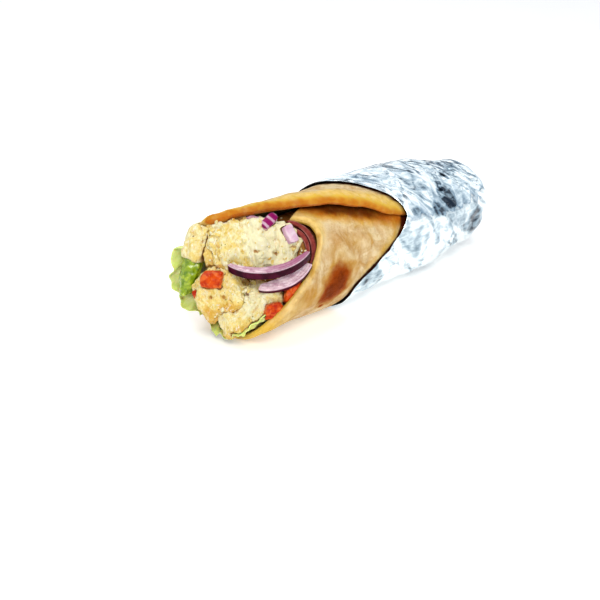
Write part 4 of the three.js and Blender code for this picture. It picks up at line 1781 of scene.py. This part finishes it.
@dataclass
class ChickenChunk:
    """A torn chunk of chicken: fibrous, cracked and pitted."""

    mouth: MouthFrame
    node: str
    name: str
    pale: float
    seed: int
    creams: tuple[tuple[float, float, float, float], ...] = ()
    hollows: tuple[tuple[float, float, float, float], ...] = ()
    gold_below: float = -99.0
    voxel: float = 0.42
    rounding: int = 4
    fibre: tuple[float, float, float] = (1.0, 0.25, 0.6)
    lie: tuple[float, float, float] = (0.0, 0.0, 12.0)
    rough: float = 1.0
    swell: float = 0.5
    seam: float | None = None
    seam_height: float = 1.1
    seam_width: float = 2.4

    def relief(self, seen: Array) -> tuple[Array, Array]:
        """Height of the torn surface, and how deep each place lies in a crack or pit.

        Args:
            seen: places in the mouth's frame.

        Returns:
            Heights in millimetres, and shares from 0 to 1.
        """
        warped = seen + 0.8 * np.stack([Grain(self.seed + k).waves(seen, 5.0) for k in (1, 2, 3)], -1)
        lumps = Grain(self.seed).layers(warped, 8.5, 2)
        torn = Grain(self.seed + 5).chips(warped, 7.0)
        flakes = Grain(self.seed + 6).chips(warped, 2.3)
        strands = Grain(self.seed + 7).layers(seen @ turning(self.lie) * self.fibre, 1.5, 2, 0.7)
        grains = Grain(self.seed + 9).layers(seen, 1.5, 2, 0.7)
        line = np.abs(Grain(self.seed + 11).layers(seen, 9.0, 3, 0.45))
        where = smooth(Grain(self.seed + 13).waves(seen, 9.5), 0.18, 0.45)
        crack = fall(line, 0.0, 0.09) * where
        pit = fall(Grain(self.seed + 19).pits(seen, 6.0, 0.16), 0.08, 0.22)
        ragged = 1 + 0.8 * Grain(self.seed + 23).waves(seen, 1.1)
        for x, y, across, upward in self.hollows:
            away = np.hypot((seen[:, 0] - x) / across, (seen[:, 1] - y) / upward) * ragged
            pit = np.maximum(pit, fall(away, 0.3, 1.3))
        height = 0.9 * lumps + 1.2 * torn + 0.28 * flakes + 0.4 * strands + 0.09 * grains - crack - pit
        low = 0.2 * smooth(-torn, 0.2, 0.8) + 0.2 * smooth(-flakes, 0.25, 0.8)
        cavity = 0.7 * crack + 0.8 * pit + low + 0.25 * smooth(-lumps, 0.25, 0.8)
        return height, np.clip(cavity + 0.35 * smooth(-strands, 0.25, 0.8), 0, 1)

    def build(self, finish: bpy.types.Material, neighbours: Neighbours) -> Piece:
        """Builds and dresses the chunk.

        Args:
            finish: the chicken's material.
            neighbours: what hems it in.

        Returns:
            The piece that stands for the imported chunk.
        """
        piece = refined_copy(self.node, self.name, self.voxel, self.rounding)
        places, normals = places_of(piece), normals_of(piece)
        close = neighbours.closeness(piece, SEEN_TO)
        paint(piece, "close", close)
        seen = self.mouth.inside(places)
        height, cavity = self.relief(seen)
        facing = smooth(normals @ self.mouth.axes[2], -0.2, 0.15)
        height = height * self.rough + self.swell * smooth(close, 0.3, 0.7) * facing
        if self.seam is not None:
            away = (seen[:, 0] - self.seam) / self.seam_width
            height += self.seam_height * np.exp(-(away**2))
        move_points(piece, places + normals * height[:, None])
        pale = np.full(len(seen), self.pale)
        for x, y, reach, gain in self.creams:
            pale += gain * fall(np.hypot(seen[:, 0] - x, seen[:, 1] - y), 0.3 * reach, reach)
        pale -= 0.4 * fall(seen[:, 1] + 1.5 * height, self.gold_below - 4, self.gold_below + 4)
        paint(piece, "pale", np.clip(pale, 0, 1))
        paint(piece, "cavity", cavity)
        settle(piece, (self.node,), "chicken", [finish])
        return piece


@dataclass
class FillingCore:
    """Chopped filling that runs through the roll behind the chunks."""

    voxel: float = 0.9
    darkest: float = 0.88

    def build(self, finish: bpy.types.Material, neighbours: Neighbours) -> Piece:
        """Builds and dresses the core.

        Args:
            finish: the chicken's material.
            neighbours: what hems it in.

        Returns:
            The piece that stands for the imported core.
        """
        piece = refined_copy("filling_core", "chopped_filling", self.voxel, 3)
        places = places_of(piece)
        # Painted shade: the core counts as at least this hemmed in, so the finish lays its dark shade colours
        # over it.
        paint(piece, "close", np.maximum(self.darkest, neighbours.closeness(piece, LINING_SEEN_TO)))
        front = fall(places[:, 0], -10, 10)
        lumps = Grain(51).layers(places, 6.0, 3)
        crack = fall(np.abs(Grain(57).layers(places, 7.0, 2)), 0, 0.12)
        height = (0.8 * lumps - 0.9 * crack) * front
        move_points(piece, places + normals_of(piece) * height[:, None])
        paint(piece, "pale", np.clip(0.12 + 0.3 * lumps, 0, 1))
        # Its high cavity value lays the darker colours on it: partly sauce, partly painted shade.
        paint(piece, "cavity", np.clip(0.7 + 0.5 * crack - 0.4 * lumps, 0, 1))
        settle(piece, ("filling_core",), "filling", [finish])
        return piece


# ---- Onion and peppers ----


@dataclass
class OnionSlice:
    """A slice of onion ring: dark skin along its outer side."""

    mouth: MouthFrame
    node: str
    name: str
    at: tuple[float, float, float]
    turn: tuple[float, float, float]
    radius: float
    width: float
    height: float
    seed: int
    drop: float = 0.0
    blush: float = 0.0
    skin_top: float = 1.0
    voxel: float = 0.34

    def build(self, finish: bpy.types.Material, neighbours: Neighbours) -> Piece:
        """Builds and dresses the slice.

        Args:
            finish: the onion's material.
            neighbours: what hems it in.

        Returns:
            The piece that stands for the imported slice.
        """
        piece = refined_copy(self.node, self.name, self.voxel, 3)
        places = places_of(piece)
        axes = turning(self.turn, spun=True)
        own = (self.mouth.inside(places) - self.at) @ axes
        paint(piece, "close", neighbours.closeness(piece, SEEN_TO))
        lowering = self.drop * smooth(-own[:, 2], 0, self.height / 2)
        depth = self.radius - np.hypot(own[:, 0], own[:, 1])
        sag = Grain(self.seed).layers(places, 9, 2)
        lines = np.sin(depth * 4.2 + 0.6 * sag)
        upper = smooth(own[:, 2], 0.2 * self.height, 0.45 * self.height)
        height = 0.16 * sag + 0.07 * lines * upper
        lowered = places - lowering[:, None] * (axes[:, 2] @ self.mouth.axes)
        move_points(piece, lowered + normals_of(piece) * height[:, None])
        level = own[:, 2] / self.height
        covered = fall(level + 0.04 * sag, self.skin_top - 0.6, self.skin_top - 0.45)
        skin = fall(depth + 0.25 * sag, 0.25, 0.75) * covered
        wall = np.minimum(np.abs(depth), np.abs(depth - self.width))
        # Painted highlight: a pale line along the cut edges of the upper half.
        edge = smooth(level, 0.34, 0.46) * fall(wall + 0.2 * sag, 0.1, 0.55)
        hollow = smooth(depth, self.width - 0.9, self.width - 0.2) * 0.6
        paint(piece, "skin", np.clip(skin, 0, 1))
        paint(piece, "edge", 0.75 * edge)
        blush = self.blush * smooth(self.mouth.inside(places)[:, 0], -46, -22)
        lined = 0.35 * smooth(lines, 0.2, 0.9) * upper
        paint(piece, "rim", np.clip(np.maximum(hollow, lined) + blush, 0, 1))
        settle(piece, (self.node,), "onion", [finish])
        return piece


class Cut(Enum):
    """What a diced piece is cut from."""

    ONION = "onion"
    RED_PEPPER = "red_pepper"
    GREEN_PEPPER = "green_pepper"


@dataclass
class DicedPiece:
    """A diced or sliced bit of onion or pepper."""

    mouth: MouthFrame
    node: str
    name: str
    cut: Cut
    at: tuple[float, float, float]
    turn: tuple[float, float, float]
    depth: float
    seed: int
    skin: float = 1.0
    voxel: float = 0.3
    rounding: int = 5
    lumpy: float = 0.14

    def build(self, finish: bpy.types.Material, neighbours: Neighbours) -> Piece:
        """Builds and dresses the bit.

        Args:
            finish: the material of what it is cut from.
            neighbours: what hems it in.

        Returns:
            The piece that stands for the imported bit.
        """
        piece = refined_copy(self.node, self.name, self.voxel, self.rounding)
        places = places_of(piece)
        paint(piece, "close", neighbours.closeness(piece, SEEN_TO))
        own = (self.mouth.inside(places) - self.at) @ turning(self.turn)
        sag = Grain(self.seed).layers(places, 4, 3)
        knobs = Grain(self.seed + 7).chips(places, 1.9)
        lumpy = 0.0 if self.cut is Cut.ONION else self.lumpy
        move_points(piece, places + normals_of(piece) * (0.3 * sag + lumpy * knobs)[:, None])
        outer = smooth(own[:, 2] + 0.2 * sag, 0.1 * self.depth, 0.4 * self.depth)
        if self.cut is Cut.ONION:
            stripe = smooth(np.sin(own[:, 1] * 1.5 + 0.4), 0.3, 0.8)
            paint(piece, "skin", np.clip(self.skin * (outer * (1 - 0.7 * stripe)), 0, 1))
            paint(piece, "rim", np.clip(0.5 * (1 - outer), 0, 1))
        else:
            # Painted highlight: the pale flesh colour laid on the tops of the knobs.
            knob_highlight = 0.5 * smooth(knobs, 0.25, 0.6)
            paint(piece, "flesh", np.clip(0.55 * (1 - outer) + 0.15 * sag + knob_highlight, 0, 1))
        settle(piece, (self.node,), self.cut.value, [finish])
        return piece


# ---- Crumbs ----


@dataclass
class Crumbs:
    """Small crumbs of chicken and flecks of herb that lie on the filling."""

    mouth: MouthFrame
    carriers: list[Piece]
    count: int
    name: str
    slot: str
    sizes: tuple[float, float]
    seed: int
    flat: float = 0.8
    length: float = 1.0
    nests: tuple[tuple[float, float, float], ...] = ((-44.0, -16.0, 27.0),)
    above: float = 110.0
    raised: float = 0.25

    def landing(self) -> list[tuple[Array, Array, float]]:
        """Where crumbs land when dropped into the mouth.

        Returns:
            Place, outward direction and size of each.
        """
        draw = np.random.default_rng(self.seed)
        trees = [BVHTree.FromObject(one, bpy.context.evaluated_depsgraph_get()) for one in self.carriers]
        inward = Vector(-self.mouth.axes[2])
        found = []
        for _ in range(self.count):
            middle_x, middle_y, reach = self.nests[draw.integers(len(self.nests))]
            across = middle_x + reach * draw.uniform(-1, 1)
            upward = middle_y + reach * draw.uniform(-1, 1)
            size = draw.uniform(*self.sizes)
            start = self.mouth.outside(np.array([across, upward, self.above])) - ROLL_ORIGIN
            hits = [tree.ray_cast(Vector(start * METRES), inward) for tree in trees]
            hits = [hit for hit in hits if hit[0] is not None]
            if not hits:
                continue
            place, normal, _, _ = min(hits, key=lambda hit: hit[3])
            found.append((np.array(place) / METRES + ROLL_ORIGIN, np.array(normal), size))
        return found

    def build(self, finish: bpy.types.Material) -> Piece:
        """Builds and dresses the crumbs as one piece.

        Args:
            finish: their material.

        Returns:
            The crumbs.
        """
        draw = np.random.default_rng(self.seed + 1)
        form, sides = ball()
        points, faces = [], []
        for number, (place, normal, size) in enumerate(self.landing()):
            lumpy = form * (1 + 0.35 * Grain(self.seed + 3).waves(form + 5.0 * number, 0.9))[:, None]
            stretch = draw.uniform(0.6, 1.3, 3) * [self.length, 1, self.flat]
            axis = normal / np.linalg.norm(normal)
            side = np.cross(axis, draw.normal(size=3))
            side = side / np.linalg.norm(side)
            axes = np.array([side, np.cross(axis, side), axis])
            faces.append(sides + len(points) * len(form))
            points.append((lumpy * stretch * size) @ axes + place + axis * size * self.flat * self.raised)
        piece = make_piece(self.name, np.concatenate(points), np.concatenate(faces))
        pale = draw.uniform(0.2, 0.9, len(points)).repeat(len(form))
        paint(piece, "pale", pale)
        for name in ("cavity", "flesh", "close"):
            paint(piece, name, np.zeros(len(pale)))
        settle(piece, (), self.slot, [finish])
        return piece


# ---- Studio ----


@dataclass
class Studio:
    """A pale floor, soft light and the camera."""

    mouth: MouthFrame
    distance: float = 0.65
    scale: float = 2.02
    picture: float = 600.0
    landmark: tuple[float, float] = (346.0, 236.0)
    lens: float = 78.78
    sensor: float = 36.0
    clip: tuple[float, float] = (0.01, 30.0)
    floor_reach: float = 4.0
    floor_lines: int = 41
    sky: float = 0.36
    mirrored_sky: float = 1.35
    wall: Tint = Tint(160, 178, 194)
    air: Tint = Tint(238, 244, 252)
    patch_scale: float = 3.4
    floor_glow: float = 0.3

    def camera(self) -> None:
        """Sets the camera at the photograph's angle."""
        right, up, back = (Vector(axis) for axis in self.mouth.axes)
        middle = Vector((-ROLL_ORIGIN[0], -ROLL_ORIGIN[1], self.mouth.height)) * METRES
        pixel = METRES / self.scale
        target = middle - right * (self.landmark[0] - self.picture / 2) * pixel
        target += up * (self.landmark[1] - self.picture / 2) * pixel
        data = bpy.data.cameras.new("camera")
        data.lens = self.lens
        data.sensor_width = self.sensor
        data.clip_start, data.clip_end = self.clip
        camera = bpy.data.objects.new("camera", data)
        camera.matrix_world = Matrix((right, up, back)).transposed().to_4x4()
        camera.location = target + back * self.distance
        bpy.context.scene.collection.objects.link(camera)
        bpy.context.scene.camera = camera

    def floor(self) -> None:
        """Lays the pale floor."""
        count = self.floor_lines
        line = np.linspace(-self.floor_reach, self.floor_reach, count)
        across, along = np.meshgrid(line, line)
        points = np.stack([across, along, np.zeros_like(across)], -1).reshape(-1, 3) / METRES
        piece = make_piece("floor", points + ROLL_ORIGIN, grid_faces(count, count))
        bench = Bench("pale_floor")
        bench.lay(bench.ramp(bench.noise(60), [(0.3, Tint(246, 246, 246)), (0.7, Tint(249, 249, 249))]))
        bench.set(Roughness=0.9, Specular_IOR_Level=0.1)
        bench.set(Emission_Color=WHITE, Emission_Strength=self.floor_glow)
        piece.data.materials.append(bench.material)

    def light(
        self, name: str, place: tuple[float, float, float], size: float, power: float, tint: Tint
    ) -> None:
        """Hangs one soft light that faces the roll.

        Args:
            name: its name.
            place: its place in metres.
            size: width of its panel in metres.
            power: its power in watts.
            tint: its colour.
        """
        data = bpy.data.lights.new(name, "AREA")
        data.shape = "SQUARE"
        data.size = size
        data.energy = power
        data.color = tint.linear()[:3]
        lamp = bpy.data.objects.new(name, data)
        lamp.location = place
        lamp.rotation_euler = Vector(place).to_track_quat("Z", "Y").to_euler()
        bpy.context.scene.collection.objects.link(lamp)

    def surroundings(self) -> None:
        """Sets the soft room: pale, with a few greyer places for the foil to reflect."""
        world = bpy.data.worlds.new("studio")
        bpy.context.scene.world = world
        world.use_nodes = True
        room = NodeTree(world.node_tree)
        way = room.node("ShaderNodeTexCoord").outputs["Generated"]
        noise = room.node("ShaderNodeTexNoise", Vector=way, Scale=self.patch_scale, Detail=2.0)
        stops = [(0.33, Tint(40, 50, 64)), (0.40, Tint(176, 194, 210)), (0.47, Tint(250, 253, 255))]
        height = room.node("ShaderNodeSeparateXYZ", Vector=way).outputs["Z"]
        walls = room.ramp(height, [(0.02, self.wall), (0.32, WHITE)])
        mirrored = room.mix(1.0, room.ramp(noise.outputs["Fac"], stops), walls, "MULTIPLY")
        path = room.node("ShaderNodeLightPath").outputs
        powers = {"To Min": self.sky, "To Max": self.mirrored_sky}
        power = room.node("ShaderNodeMapRange", Value=path["Is Glossy Ray"], **powers).outputs["Result"]
        background = room.tree.nodes["Background"].inputs
        room.feed(background["Color"], room.mix(path["Is Glossy Ray"], self.air, mirrored))
        room.feed(background["Strength"], room.maths(Sum.LARGER, path["Is Camera Ray"], power))

    def build(self) -> None:
        """Sets up floor, light, surroundings and camera."""
        self.floor()
        self.surroundings()
        self.light("key", (-0.7, -0.8, 0.95), 0.6, 13.0, Tint(255, 252, 244))
        self.light("top", (-0.1, 0.35, 1.2), 1.0, 8.0, Tint(250, 252, 255))
        self.camera()
        bpy.context.scene.view_settings.view_transform = "Standard"


# ---- The whole roll ----


@dataclass
class KatiRoll:
    """Every sub-assembly of the roll, with its sizes."""

    form: RollForm = field(default_factory=RollForm)
    mouth: MouthFrame = field(default_factory=MouthFrame)
    nests: tuple[tuple[float, float, float], ...] = (
        (-61.0, 4.0, 1.6),
        (-61.0, -1.0, 2.4),
        (-60.6, -6.0, 2.4),
        (-61.0, -11.0, 2.6),
        (-58.0, -16.5, 3.0),
        (-50.0, -17.0, 2.6),
        (-46.0, -25.0, 3.0),
        (-44.0, -30.0, 3.0),
        (-38.0, -13.0, 3.0),
        (-27.0, -10.0, 3.0),
        (-30.0, -22.0, 3.0),
        (-58.0, -38.0, 2.0),
    )

    def leaves(self) -> list[LettuceLeaf]:
        """The two lettuce leaves.

        Returns:
            The leaves, to be built.
        """
        finish = LettuceFinish()
        return [
            LettuceLeaf(self.form, finish, "lettuce_left", "lettuce_far", 130, 233, 11, 1.7, 3.5, 1.5, 61),
            LettuceLeaf(self.form, finish, "lettuce_under", "lettuce_low", 237, 336, 6, 1.3, 4, 0.5, 67),
        ]

    def chunks(self) -> list[ChickenChunk]:
        """The torn chunks at the mouth.

        Returns:
            The chunks, to be built.
        """
        chunk, seam = partial(ChickenChunk, self.mouth), -40.6
        cream = ((-37.5, -4.5, 14.0, 0.9), (-60.3, 3.4, 3.6, 0.6))
        holes = (
            (-40.6, 0.9, 1.5, 1.0),
            (-28.3, 0.0, 1.3, 1.6),
            (-42.9, -9.6, 1.3, 0.8),
            (-33.8, -10.6, 1.6, 0.9),
            (-46.0, 4.6, 1.6, 0.8),
            (-26.0, -8.0, 1.0, 1.6),
        )
        low = ((-44, -30, 9, 0.25),)
        return [
            chunk("chicken_upper_left", "chunk_upper_left", 0.5, 101, cream, holes, -15, seam=seam),
            chunk("chicken_upper_right", "chunk_upper_right", 0.78, 101, cream, holes, -17, seam=seam),
            chunk("chicken_back", "chunk_far_left", 0.5, 163, rough=0.6),
            chunk("chicken_sliver", "chunk_sliver", 0.2, 182, rough=0.6),
            chunk("chicken_lower_left", "chunk_lower_left", 0.42, 211, gold_below=-34, lie=(0, 0, 40)),
            chunk("chicken_lower_right", "chunk_lower_right", 0.58, 236, low, (), -42, lie=(0, 0, -30)),
        ]

    def slices(self) -> list[tuple[OnionSlice, bool]]:
        """The onion slices, each with whether it is a dark inner ring.

        Returns:
            The slices, to be built.
        """
        cut, ring_turn = partial(OnionSlice, self.mouth), (-10, 20, 0)
        long_at, long_turn = (-39, -6.4, 50), (-50, 8, 11)
        long = cut("onion_long", "onion_slice_long", long_at, long_turn, 22.8, 4.4, 3.4, 301)
        long.drop, long.blush = 0.8, 0.9
        short_at, short_turn = (-36, -10.4, 48.4), (-30, 10, 25)
        short = cut("onion_short", "onion_slice_short", short_at, short_turn, 20.4, 6, 2.8, 307)
        short.drop, short.skin_top = 0.4, 0.66
        outer = cut("onion_ring_outer", "onion_ring_wide", (-28, -8, 46), ring_turn, 12.8, 2.6, 5, 311)
        inner = cut("onion_ring_inner", "onion_ring_small", (-28, -8, 45.4), ring_turn, 9.7, 2.4, 5, 313)
        return [(long, False), (short, False), (outer, True), (inner, True)]

    def diced(self) -> list[DicedPiece]:
        """The diced bits of onion and pepper.

        Returns:
            The bits, to be built.
        """
        onion, red, green = Cut.ONION, Cut.RED_PEPPER, Cut.GREEN_PEPPER
        rows = [
            ("onion_dice", "onion_bit_dark", onion, (-37, 3.6, 57), (-30, 14, -38), 3.0, 401, 1.0),
            ("onion_block", "onion_bit_pale", onion, (-27.2, -2, 56.8), (-18, 24, 26), 3.0, 405, 0.0),
            ("onion_scrap", "onion_bit_far", onion, (-44.7, 5.4, 51), (-35, 0, 70), 2.2, 409, 0.3),
            ("pepper_left", "red_bit_left", red, (-62.2, -22.6, 58.2), (-10, -12, 76), 3.6, 413),
            ("pepper_corner", "red_bit_corner", red, (-69, -29.8, 49.5), (0, -20, 30), 3.0, 417),
            ("pepper_right", "red_bit_right", red, (-26.4, -28, 52.6), (6, 24, -24), 3.4, 421),
            ("pepper_low", "red_bit_low", red, (-34.6, -36.4, 56), (10, 20, 10), 3.4, 425),
            ("pepper_green", "green_bit", green, (-73.2, -20.6, 46), (0, -26, -6), 3.6, 429),
        ]
        return [DicedPiece(self.mouth, *row) for row in rows]

    def onions(self) -> list[OnionFinish]:
        """Finishes of the slices, of the inner rings and of the diced bits.

        Returns:
            Pale, dark and bright.
        """
        pale = OnionFinish("red_onion", Tint(44, 4, 22), Tint(240, 220, 226), Tint(158, 92, 124))
        # The inner rings' finish is a deeper red onion, partly darkened as painted shade for rings deep in
        # the mouth; its edge colour is a painted highlight.
        dark_edge_highlight, gleam = Tint(206, 140, 132), Tint(150, 30, 100)
        dark = OnionFinish(
            "deep_red_onion_and_shade", Tint(62, 4, 16), Tint(158, 72, 64), Tint(96, 24, 30), edge=dark_edge_highlight
        )
        bright = OnionFinish(
            "magenta_onion", Tint(126, 14, 82), Tint(226, 204, 214), Tint(196, 140, 176), gleam
        )
        return [pale, dark, bright]

    def peppers(self) -> list[PepperFinish]:
        """Finishes of the red bits, of the green bit and of the herb flecks.

        Returns:
            Red, green and herb.
        """
        reds = (Tint(166, 26, 0), Tint(206, 72, 0), Tint(226, 120, 56), Tint(96, 16, 4))
        greens = (Tint(88, 122, 0), Tint(146, 172, 4), Tint(186, 204, 60), Tint(40, 56, 8))
        herbs = (Tint(84, 84, 24), Tint(128, 120, 44), Tint(128, 120, 44), Tint(60, 60, 12))
        return [
            PepperFinish("red_pepper", *reds, roughness=0.3, coat=0.0),
            PepperFinish("green_pepper", *greens, roughness=0.12, coat=0.8, relief=0.7),
            PepperFinish("herb", *herbs, roughness=0.5, coat=0.0),
        ]

    def build(self) -> None:
        """Builds every sub-assembly in order."""
        Flatbread(self.form, BreadFinish()).build()
        FoilWrap(self.form, FoilFinish()).build()
        neighbours = Neighbours()
        for leaf in self.leaves():
            leaf.build(neighbours)
        chicken = ChickenFinish().material()
        carriers = [chunk.build(chicken, neighbours) for chunk in self.chunks()]
        carriers.append(FillingCore().build(chicken, neighbours))
        pale, dark, bright = (finish.material() for finish in self.onions())
        for onion, ring in self.slices():
            onion.build(dark if ring else pale, neighbours)
        red, green, herb = (finish.material() for finish in self.peppers())
        finishes = {Cut.ONION: bright, Cut.RED_PEPPER: red, Cut.GREEN_PEPPER: green}
        for bit in self.diced():
            bit.build(finishes[bit.cut], neighbours)
        crumbs, nests = partial(Crumbs, self.mouth, carriers), self.nests
        crumbs(150, "chicken_crumbs", "chicken", (0.3, 0.75), 501).build(chicken)
        crumbs(80, "chicken_shreds", "chicken", (0.5, 1.1), 523, 0.6, 1.8, nests).build(chicken)
        crumbs(50, "herb_flecks", "green_pepper", (0.14, 0.3), 517, 0.35).build(herb)


def main() -> None:
    """Builds the roll and its studio."""
    logging.basicConfig(level=logging.INFO, format="%(name)s: %(message)s")
    KatiRoll().build()
    Studio(MouthFrame()).build()


if __name__ == "__main__":
    main()
